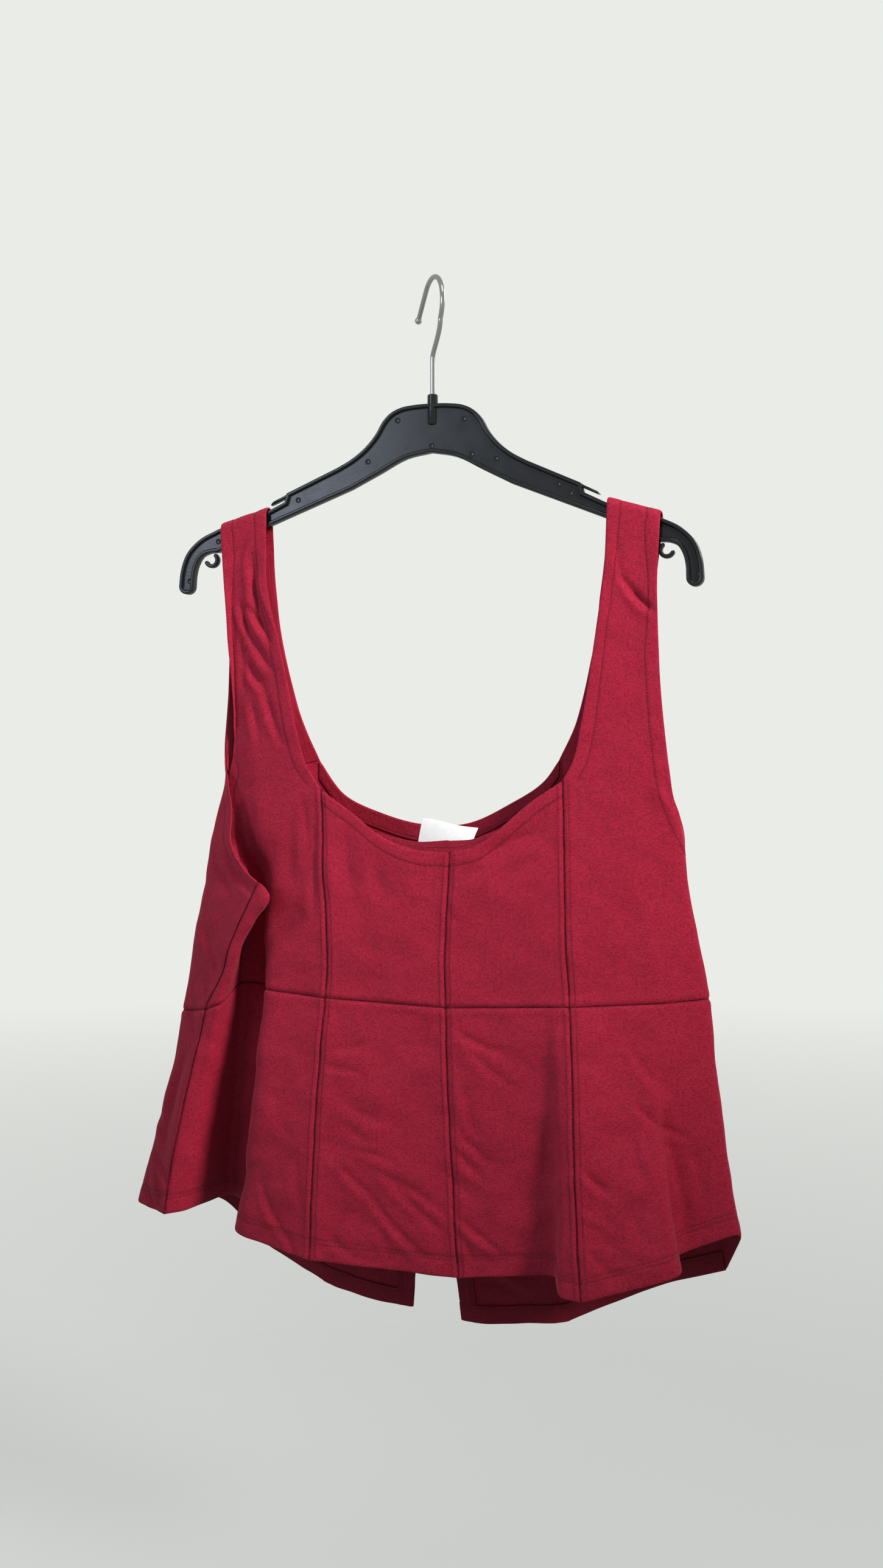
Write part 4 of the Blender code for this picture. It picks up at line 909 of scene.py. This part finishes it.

# %% [markdown]
# Stitches. A row of thread shows as short dashes, about twelve to the inch. One stitch is a small
# spindle of twelve triangles, laid on the cloth along the row and sunk by half its thickness, and
# each row's stitches go into one mesh. Thread is smoother than knit, and its colour is made much
# darker than the knit's as painted shade of the small pit that each stitch sits in.

# %% Thread and one row of it
PITCH, THREAD_RADIUS, HALF_STITCH = 2.1, 0.36, 0.82
PROUD, WOBBLE, SUNK_TIPS = 0.02, 0.12, 0.08
OUTSIDE = WALL / 2 + PROUD
INSIDE = -(FACING_LIFT + FACING_WALL / 2 + PROUD)


def thread_material():
    """Spun polyester thread, dyed to match the knit but darker as painted shade of the stitch pits: fine
    twist as a noise along the row.
    """
    # The dark thread colours stand partly for painted shade in the stitch pits.
    mat, tree, shader = new_material("crimson_thread_painted_pit_shade", "#560F1D", {"Roughness": 0.5})
    place = add_node(tree, "TexCoord", {}).outputs["Object"]
    twist = add_node(tree, "TexNoise", {"Scale": 900.0, "Vector": place})
    dyed = add_node(tree, "Mix", {"data_type": "RGBA", 0: twist, 6: linear("#450B16"),
                                  7: linear("#641322")})
    set_node(tree, shader, {"Base Color": dyed.outputs[2]})
    return mat


def run_of_stitches(path, normals, lift):
    """Spindles along a path: two tips and six points round the middle, for each stitch."""
    run = np.concatenate([[0.0], np.cumsum(np.linalg.norm(np.diff(path, axis=0), axis=1))])
    at = np.arange(PITCH, run[-1] - PITCH, PITCH)

    def on_path(values, s):
        return np.stack([np.interp(s, run, values[:, k]) for k in range(3)], axis=1)

    up = unit(on_path(normals, at))
    along = unit(on_path(path, at + PITCH / 3) - on_path(path, at - PITCH / 3))
    side = unit(np.cross(up, along))
    wobble = WOBBLE * np.sin(at * 7.31)[:, None]     # sets neighbours unevenly
    centre = on_path(path, at) + up * np.interp(at, run, lift)[:, None] + side * wobble
    turn = np.arange(6)[None, :, None] * math.pi / 3
    ring = centre[:, None] + THREAD_RADIUS * (np.cos(turn) * side[:, None]
                                              + np.sin(turn) * up[:, None])
    tips = np.stack([centre - along * HALF_STITCH - up * SUNK_TIPS,
                     centre + along * HALF_STITCH - up * SUNK_TIPS], axis=1)
    k = np.arange(6)
    one = np.concatenate([np.stack([np.full(6, 6), (k + 1) % 6, k], axis=1),
                          np.stack([np.full(6, 7), k, (k + 1) % 6], axis=1)])
    faces = one[None] + 8 * np.arange(len(at))[:, None, None]
    return np.concatenate([ring, tips], axis=1).reshape(-1, 3), faces.reshape(-1, 3).tolist()


def row_at(grid, edge, inset, lift=OUTSIDE, keep=slice(None)):
    """A row at a distance in from one edge: its path, its directions and how far it stands off."""
    strip = band(grid, edge, [inset])
    above = strip["dip"][0] if lift > 0 else np.zeros_like(strip["dip"][0])
    return strip["points"][0][keep], strip["normals"][0][keep], (lift + above)[keep]


# %% Stitch rows
SIDES = [name for name in PANELS if "_side_" in name and "peplum" not in name]
NECK_END = len(OVER_HANGER) + len(STRAP_LEVELS)
seam_rows, edge_rows = [], []
for name in SIDES:
    peplum = PANELS[name.replace("_side", "_peplum_side")]
    armhole = len(PANELS[name]["points"]) - RIB - 3
    seam_rows += [row_at(PANELS[name], "last", SEAM_STITCH, keep=slice(NECK_END + 1, None)),
                  row_at(peplum, "last", SEAM_STITCH)]
    edge_rows += [row_at(PANELS[name], "last", NECK_STITCH, keep=slice(0, NECK_END)),
                  row_at(PANELS[name], "first", NECK_STITCH, keep=slice(0, armhole))]
for kind in ("back_", "back_peplum_"):
    for side, outer, inner in (("left", "first", "last"), ("right", "last", "first")):
        centre = PANELS[kind + "centre_" + side]
        seam_rows += [row_at(centre, outer, SEAM_STITCH), row_at(centre, inner, CENTRE_STITCH)]
for name in ("back_centre_left", "back_centre_right", "front_centre"):
    edge_rows.append(row_at(PANELS[name], "top", NECK_STITCH))
hem_rows = [row_at(PANELS[name], "hem", inset) for name in PANELS if "peplum" in name
            for inset in HEM_STITCH]
inner_rows = [row_at(PANELS["front_centre"], "top", NECK_STITCH, INSIDE),
              row_at(BACK_NECK, "top", NECK_STITCH, INSIDE)]
for side, edge in (("left", "last"), ("right", "first")):
    slit = PANELS["front_peplum_centre_" + side]
    hem_rows.append(row_at(slit, edge, NECK_STITCH))
    inner_rows += [row_at(slit, edge, NECK_STITCH, INSIDE),
                   row_at(HEMS[side], "hem", HEM_STITCH[0], INSIDE),
                   row_at(HEMS[side], "hem", HEM_STITCH[1] + 0.3, -OUTSIDE),
                   row_at(strap_rows("front_side_" + side, STRAP_TOP, 0.95), "last", NECK_STITCH,
                          INSIDE)]
raised = band(BACK_NECK, "top", [-rise * ROLLED_SHARE])
shown = (edge_x > NECK_SHOWN[0]) & (edge_x < NECK_SHOWN[1])
inner_rows.append((raised["points"][0][shown], raised["normals"][0][shown],
                   np.full(shown.sum(), FACING_WALL / 2 + PROUD - FACING_LIFT)))
THREAD = thread_material()
stitches = 0
for where, rows in (("along_seams", seam_rows), ("along_edges", edge_rows),
                    ("along_hems", hem_rows), ("on_turned_edges", inner_rows)):
    obj = put_mesh("stitches_" + where, *joined([run_of_stitches(*row) for row in rows]), THREAD,
                   smooth_angle=180.0)
    stitches += len(obj.data.polygons) // 12
print("stitches:", stitches)

# %% [markdown]
# The label: a bare piece of white satin tape, folded at both ends and sewn in behind the back
# neckline. It stands up, tilts a little and bows away at its right end.

# %% Label
LABEL_WIDTH, LABEL_HEIGHT, LABEL_WALL = 42.0, 19.0, 0.7
LABEL_FOOT = np.array([(-4.7, -22.5, -443.8), (37.4, -22.5, -445.8)])
LABEL_HEAD = np.array([(-1.0, -21.3, -422.6), (41.0, -13.5, -430.3)])


def label_material():
    """Woven satin: fine crosswise ribs 0.35 mm apart, drawn at 0.7 mm to show, and faint shade."""
    mat, tree, shader = new_material("white_satin_tape", "#CCCED1",
                                     {"Roughness": 0.42, "Sheen Weight": 0.2})
    uv = add_node(tree, "UVMap", {})
    rib = add_node(tree, "TexWave", {"bands_direction": "Y", "Scale": 450.0, "Vector": uv})
    cloudy = add_node(tree, "TexNoise", {"Scale": 220.0, "Vector": uv})
    white = add_node(tree, "Mix", {"data_type": "RGBA", 0: cloudy, 6: linear("#C0C3C7"),
                                   7: linear("#D4D6D8")})
    bump = add_node(tree, "Bump", {"Strength": 0.4, "Distance": 0.00008,
                                   "Height": rib.outputs["Fac"]})
    set_node(tree, shader, {"Base Color": white.outputs[2], "Normal": bump})
    return mat


def label_grid():
    """Bilinear sheet between four corners, bowed along its length and rounded over at the top."""
    u, v = np.linspace(0, 1, 43)[None, :, None], np.linspace(0, 1, 21)[:, None, None]
    points = ((1 - v) * ((1 - u) * LABEL_FOOT[0] + u * LABEL_FOOT[1])
              + v * ((1 - u) * LABEL_HEAD[0] + u * LABEL_HEAD[1]))
    u, v = np.broadcast_arrays(u[..., 0], v[..., 0])
    points[..., 1] += -0.5 * np.sin(math.pi * v) - 0.9 * np.sin(math.pi * u) * v + 0.8 * v**8
    points[..., 2] += 0.5 * np.sin(2.2 * math.pi * u) * v
    return {"points": points, "normals": -grid_normals(points), "groove": 0.0 * u, "dip": 0.0 * u,
            "uv": np.stack([u * LABEL_WIDTH, v * LABEL_HEIGHT], axis=-1) * MM}


LABEL = shell("neck_label_tape", label_grid(), LABEL_WALL, label_material())
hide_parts("neck_label")

# %% [markdown]
# The hanger is one injection moulding in black polystyrene: a thin web inside a raised rim, drawn
# as loops of the same outline stepped inwards and rounded at each corner. Gloss plastic shows
# its flow and the mould's fine scratches only in reflections, so its bump and roughness vary a
# little while its colour doesn't.

# %% Plastic and chrome
def gloss_plastic():
    """Polystyrene from a polished mould: near black, IOR 1.55, low uneven roughness."""
    mat, tree, shader = new_material("black_polystyrene", "#0D1014", {"IOR": 1.55})
    place = add_node(tree, "TexCoord", {}).outputs["Object"]
    flow = add_node(tree, "TexNoise", {"Scale": 60.0, "Detail": 3.0, "Vector": place})
    rough = add_node(tree, "MapRange", {"To Min": 0.13, "To Max": 0.3, "Value": flow})
    stretch = add_node(tree, "Mapping", {"Scale": (1.0, 1.0, 14.0), "Vector": place})
    scratch = add_node(tree, "TexNoise", {"Scale": 110.0, "Detail": 2.0, "Vector": stretch})
    bump = add_node(tree, "Bump", {"Strength": 0.25, "Distance": 0.00015, "Height": scratch})
    set_node(tree, shader, {"Roughness": rough, "Normal": bump})
    return mat


def chrome():
    """Plated steel wire: a clean metal with fine drawing lines round it."""
    mat, tree, shader = new_material("chromed_steel_wire", "#C9C8C6", {"Metallic": 1.0})
    place = add_node(tree, "TexCoord", {}).outputs["Object"]
    lines = add_node(tree, "TexNoise", {"Scale": 350.0, "Detail": 2.0, "Vector": place})
    rough = add_node(tree, "MapRange", {"To Min": 0.08, "To Max": 0.22, "Value": lines})
    set_node(tree, shader, {"Roughness": rough})
    return mat


PLASTIC, CHROMED = gloss_plastic(), chrome()

# %% Hanger outline
HANGER_TIP, SOCKET_Z = 1.2, -95.0
SHOULDER = [(0, -97.5), (14, -98), (26, -99.8), (34, -103.5), (40.5, -110), (46, -119.5),
            (54.5, -129.5), (66.5, -138.8), (78.5, -145.2)]
NOTCH = [(121.5, -163.9), (123.5, -171), (141, -179.3)]
END_OUTSIDE = [(182, -191.5), (199, -199.8), (210, -211), (215, -225), (216.3, -237.5)]
END_TIP, TIP_RADIUS = (209.8, -237.5), 6.5
END_INSIDE = [(203.3, -237.5), (202.7, -228), (200.5, -219.7), (196, -213), (190, -210.6),
              (182, -210)]
ARCH = [(142.5, -191.7), (66.5, -162.3), (43, -150.7), (19.5, -139.2), (0, -135.6)]


def half_outline():
    """Half of the hanger's edge, from the top's middle round the end to the arch's middle."""
    turn = np.radians(np.arange(15.0, 166.0, 15.0))
    tip = END_TIP + TIP_RADIUS * np.stack([np.cos(turn), -np.sin(turn)], axis=1)
    return np.concatenate([along_curve(SHOULDER, np.linspace(0, 1, 25)), NOTCH,
                           along_curve(END_OUTSIDE, np.linspace(0, 1, 17)), tip,
                           along_curve(END_INSIDE, np.linspace(0, 1, 17)), ARCH[:1],
                           along_curve(ARCH[1:], np.linspace(0, 1, 15))])


def inset(outline, width):
    """The loop moved inwards along the bisector of its two edges at each corner."""
    before = unit(outline - np.roll(outline, 1, axis=0))
    after = unit(np.roll(outline, -1, axis=0) - outline)
    side = unit(np.stack([before[:, 1] + after[:, 1], -(before[:, 0] + after[:, 0])], axis=1))
    square = np.stack([after[:, 1], -after[:, 0]], axis=1)
    reach = np.clip((side * square).sum(axis=1, keepdims=True), 0.5, 1.0)
    return outline + side * width / reach


def tipped(points):
    """The hanger hangs turned by a degree and a bit about its socket, right end down."""
    angle = math.radians(HANGER_TIP)
    x, y, z = points[..., 0], points[..., 1], points[..., 2] - SOCKET_Z
    return np.stack([x * math.cos(angle) + z * math.sin(angle), y,
                     SOCKET_Z + z * math.cos(angle) - x * math.sin(angle)], axis=-1)


def tube(rings):
    """Faces round a stack of rings of equal count, with flat ends."""
    rings = np.asarray(rings, dtype=float)
    index = np.arange(rings.shape[0] * rings.shape[1]).reshape(rings.shape[:2])
    after = np.roll(index, -1, axis=1)
    faces = np.stack([index[:-1], after[:-1], after[1:], index[1:]], axis=-1).reshape(-1, 4)
    return rings.reshape(-1, 3), faces.tolist() + [index[0, ::-1].tolist(), index[-1].tolist()]


def tube_on_arm(rings, side):
    """A tube on the left (-1) or the right (1) arm, tipped with the hanger and facing outwards."""
    rings = np.array(rings)
    return tube(tipped(rings if side < 0 else rings[:, ::-1]))


def rounded_square(turn, power):
    """Cosine and sine to a power below 1, with their signs kept."""
    return [np.sign(wave) * np.abs(wave)**power for wave in (np.cos(turn), np.sin(turn))]


# %% Hanger moulding
RIM = [(0.0, 3.2), (0.25, 3.75), (0.8, 4.0), (2.3, 4.0), (2.75, 3.75), (3.0, 3.2), (3.1, 1.9),
       (3.6, 1.4)]      # how far in from the edge, and how far from the middle plane
PRONG = [(116.0, -161.5, 1.9), (126.0, -166.2, 1.7), (133.5, -169.6, 1.6), (135.2, -170.5, 1.2),
         (135.9, -170.9, 0.5)]
SOCKET = [(1.0, -112.0), (2.25, -110.0), (2.25, -91.0), (2.7, -90.1), (3.5, -90.1), (4.1, -90.7),
          (4.1, -97.0), (4.0, -98.5), (4.0, -112.2), (3.4, -113.6), (1.0, -114.2)]
MARK = [(2.3, -1.2), (2.3, -1.62), (1.9, -1.75), (1.6, -1.62)]
MARKS = [(-210.2, -228.8), (-184.4, -197.3), (-28.7, -108.7), (26.2, -111.0), (-0.4, -130.6),
         (-53.7, -139.7), (-113.6, -167.1), (111.4, -173.6), (101.9, -166.1), (52.4, -143.5),
         (32.6, -138.9), (208.6, -238.8)]


def web_and_rim():
    """Loops of the outline: over the rounded rim, down to the web, and the same at the far side."""
    half = half_outline()
    outline = np.concatenate([half, half[-2:0:-1] * [-1, 1]])
    loops = [np.insert(inset(outline, width), 1, y, axis=1) for width, y in RIM]
    near = [loop * [1, -1, 1] for loop in loops[::-1]]
    return tube(tipped(np.array(near + loops)))


def prong(side):
    """A tapered finger with rounded edges that keeps a narrow strap from sliding."""
    deep, high = rounded_square(np.radians(np.arange(0, 360, 20)), 0.5)
    rings = []
    for x, z, half in PRONG:
        depth = 3.7 * half / PRONG[0][2] if half > 1.3 else 2.0 * half
        rings.append(np.stack([side * (x - 0.42 * half * high), depth * deep,
                               z - 1.6 + 0.9 * half * high], axis=1))
    return tube_on_arm(rings, side)


def socket():
    """A profile of radius and height, turned about the hook's shank."""
    turn = np.radians(np.arange(0, 360, 9))
    return tube([np.stack([r * np.cos(turn), r * np.sin(turn), np.full(len(turn), z)], axis=1)
                 for r, z in SOCKET])


def ejector_mark(x, z):
    """A shallow raised disc left by a pin of the mould, 4.6 mm across."""
    turn = np.radians(np.arange(0, 360, 15))
    return tube([np.stack([x + r * np.cos(turn), np.full(len(turn), y), z + r * np.sin(turn)],
                          axis=1) for r, y in MARK])


moulding = [web_and_rim(), prong(-1), prong(1), socket()]
moulding += [ejector_mark(x, z) for x, z in MARKS]
HANGER = put_mesh("hanger_moulding", *joined(moulding), PLASTIC, smooth_angle=32.0)
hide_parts("hanger_body")
print("hanger faces:", len(HANGER.data.polygons))

# %% [markdown]
# Under each arm of the hanger is a small open loop, as most moulded hangers have: a rounded bar
# bent round two thirds of a circle.

# %% Hanger loops
LOOP_X, LOOP_Z, LOOP_RADIUS, LOOP_POINTS = 188.0, -216.2, 4.9, 37


def small_loop(side):
    """A rounded section, 3.2 by 6 mm, carried round the arc, with rounded tips."""
    out, deep = rounded_square(np.radians(np.arange(0, 360, 18)), 0.55)
    size = np.clip(1 - np.linspace(-1, 1, LOOP_POINTS)**24, 0.25, 1)
    rings = []
    for angle, k in zip(np.radians(np.linspace(113.0, 355.0, LOOP_POINTS)), size):
        r = LOOP_RADIUS + 1.6 * k * out
        rings.append(np.stack([side * (LOOP_X + r * math.cos(angle)), 3.0 * k * deep,
                               LOOP_Z + r * math.sin(angle)], axis=1))
    return tube_on_arm(rings, side)


for name, side in (("left", -1), ("right", 1)):
    loop = put_mesh("hanger_small_loop_" + name, *small_loop(side), PLASTIC, smooth_angle=60.0)
    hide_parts("hanger_loop_" + name)

# %% [markdown]
# The hook is steel wire, 3.8 mm thick, bent in one plane: a straight shank in its socket, a slight
# swan neck, a bend of 45 mm and a straight tail that ends in a small ball. A ring of points is
# carried along that path. Its plane stands 52 degrees round from the hanger's.

# %% Hook
WIRE, BEND, BALL, TAIL = 1.9, 22.4, 2.8, 23.2
SHANK_FOOT, SHANK_TOP = -108.0, -61.0
HOOK_TURN = math.radians(52.0)


def hook_path():
    """Shank, swan neck, bend, tail and ball: points across and up in the hook's plane, and radii."""
    bend = np.radians(np.linspace(-37.0, 135.0, 60))
    arc = np.stack([BEND * np.cos(bend), WIRE - BEND + BEND * np.sin(bend)], axis=1)
    shank = np.stack([np.zeros(8), np.linspace(SHANK_FOOT, SHANK_TOP, 8)], axis=1)
    t = np.linspace(0, 1, 22)[1:-1]
    rise = arc[0] - shank[-1]
    neck = np.stack([rise[0] * t * t * (3 - 2 * t),
                     SHANK_TOP + rise[1] * (0.62 * t + 0.38 * t * t)], axis=1)
    away = np.array([-math.sin(bend[-1]), math.cos(bend[-1])])
    tail = arc[-1] + away * np.linspace(0, TAIL, 12)[1:, None]
    angles = np.radians(np.arange(132.0, 3.0, -12.0))
    ball = tail[-1] + away * BALL * (1 + np.cos(angles)[:, None])
    wire = np.concatenate([shank, neck, arc, tail])
    return (np.concatenate([wire, ball]),
            np.concatenate([np.full(len(wire), WIRE), BALL * np.sin(angles)]))


path, radii = hook_path()
along = unit(np.gradient(path, axis=0))
in_plane = np.array([math.cos(HOOK_TURN), -math.sin(HOOK_TURN), 0.0])
square = np.array([math.sin(HOOK_TURN), math.cos(HOOK_TURN), 0.0])
up = np.array([0.0, 0.0, 1.0])
side = along[:, 1:] * in_plane - along[:, :1] * up
around = np.radians(np.arange(0, 360, 15))[None, :, None]
rings = ((path[:, :1] * in_plane + path[:, 1:] * up)[:, None]
         + radii[:, None, None] * (np.cos(around) * side[:, None] + np.sin(around) * square))
HOOK = put_mesh("hook_wire_bent", *tube(rings[:, ::-1]), CHROMED, smooth_angle=60.0)
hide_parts("hanger_hook")

# %% [markdown]
# The width and length of each panel before it was sewn are read off the smooth grid; its flat
# area was read off the same grid in the relief step.

for name, obj in CLOTH.items():
    width, length = (d * MM for d in PANELS[name]["flat"])

# %% [markdown]
# The room is a pale floor under pale air. The floor is partly clear, and more so towards its rim,
# so the air shows through it and no horizon crosses the picture. The light comes as from three
# windows: soft lamps with narrow beams, brightest at the straps and weak at the hem. They are too
# bright to be mirrored in gloss, so what the chrome and the black plastic mirror are three wide
# softboxes. The air itself lights the hollows.

# %% Floor and air
FLOOR_HALF, FLOOR_Z = 6.0, -1.15


def floor_material():
    """Matt paint mixed with clear: 62 % clear under the top, and all clear 4.5 m out."""
    mat, tree, shader = new_material("pale_floor", "#BFC4C6", {"Roughness": 0.85})
    place = add_node(tree, "TexCoord", {}).outputs["Object"]
    span = add_node(tree, "VectorMath", {"operation": "LENGTH", 0: place}).outputs["Value"]
    fade = add_node(tree, "MapRange", {"From Min": 0.9, "From Max": 4.5, "To Min": 0.62,
                                       "To Max": 1.0, "Value": span})
    clear = add_node(tree, "BsdfTransparent", {})
    mixed = add_node(tree, "MixShader", {0: fade, 1: shader, 2: clear})
    set_node(tree, tree.nodes["Material Output"], {"Surface": mixed})
    return mat


floor_mesh = bpy.data.meshes.new("floor")
floor_mesh.from_pydata([(x * FLOOR_HALF, y * FLOOR_HALF, 0)
                        for x, y in ((-1, -1), (1, -1), (1, 1), (-1, 1))], [], [(0, 1, 2, 3)])
floor_mesh.materials.append(floor_material())
floor = put_object("floor", floor_mesh, (0.0, 0.0, FLOOR_Z))

world = bpy.data.worlds.new("pale_air")
bpy.context.scene.world = world
world.use_nodes = True
sky = world.node_tree
ray = add_node(sky, "LightPath", {}).outputs
seen = add_node(sky, "Math", {"operation": "MULTIPLY_ADD", 0: ray["Is Glossy Ray"], 1: 0.36,
                              2: ray["Is Camera Ray"]})
strength = add_node(sky, "MapRange", {"To Min": 0.2, "To Max": 0.92, "Value": seen})
set_node(sky, sky.nodes["Background"], {"Color": linear("#F2F5F0"), "Strength": strength})

# %% Lamps
LAMPS = [     # name, place, target, size, power and colour
    ("window_right", (2.15, -1.2, 0.8), (-0.06, 0.0, -0.28), 0.6, 4.4, "#FFF8F0"),
    ("window_left", (-2.3, -0.8, 0.5), (0.0, 0.0, -0.27), 0.7, 1.5, "#F1F5FF"),
    ("window_front", (0.9, 2.3, 0.6), (0.0, 0.0, -0.32), 0.9, 4.5, "#F8F8F5"),
    ("softbox_left", (-1.25, -2.2, 0.45), (-0.1, 0.0, -0.1), 0.7, 5.5, "#DCE8FF"),
    ("softbox_top", (0.7, -1.0, 1.6), (0.0, 0.0, -0.1), 0.8, 7.0, "#F8F9FF"),
    ("softbox_rear", (1.5, 1.8, 0.9), (0.0, 0.0, -0.1), 0.9, 7.0, "#FFFBF5"),
]
WINDOW_SPREAD, SOFTBOX_SPREAD = 28.0, 150.0
for name, place, target, size, power, colour in LAMPS:
    wide = name.startswith("softbox")
    light = bpy.data.lights.new(name, "AREA")
    light.shape = "SQUARE"
    light.size = size
    light.energy = power
    light.color = linear(colour)[:3]
    light.spread = math.radians(SOFTBOX_SPREAD if wide else WINDOW_SPREAD)
    obj = put_object(name, light, place, Vector(target) - Vector(place))
    obj.visible_glossy = wide
print("lamps:", len(LAMPS))
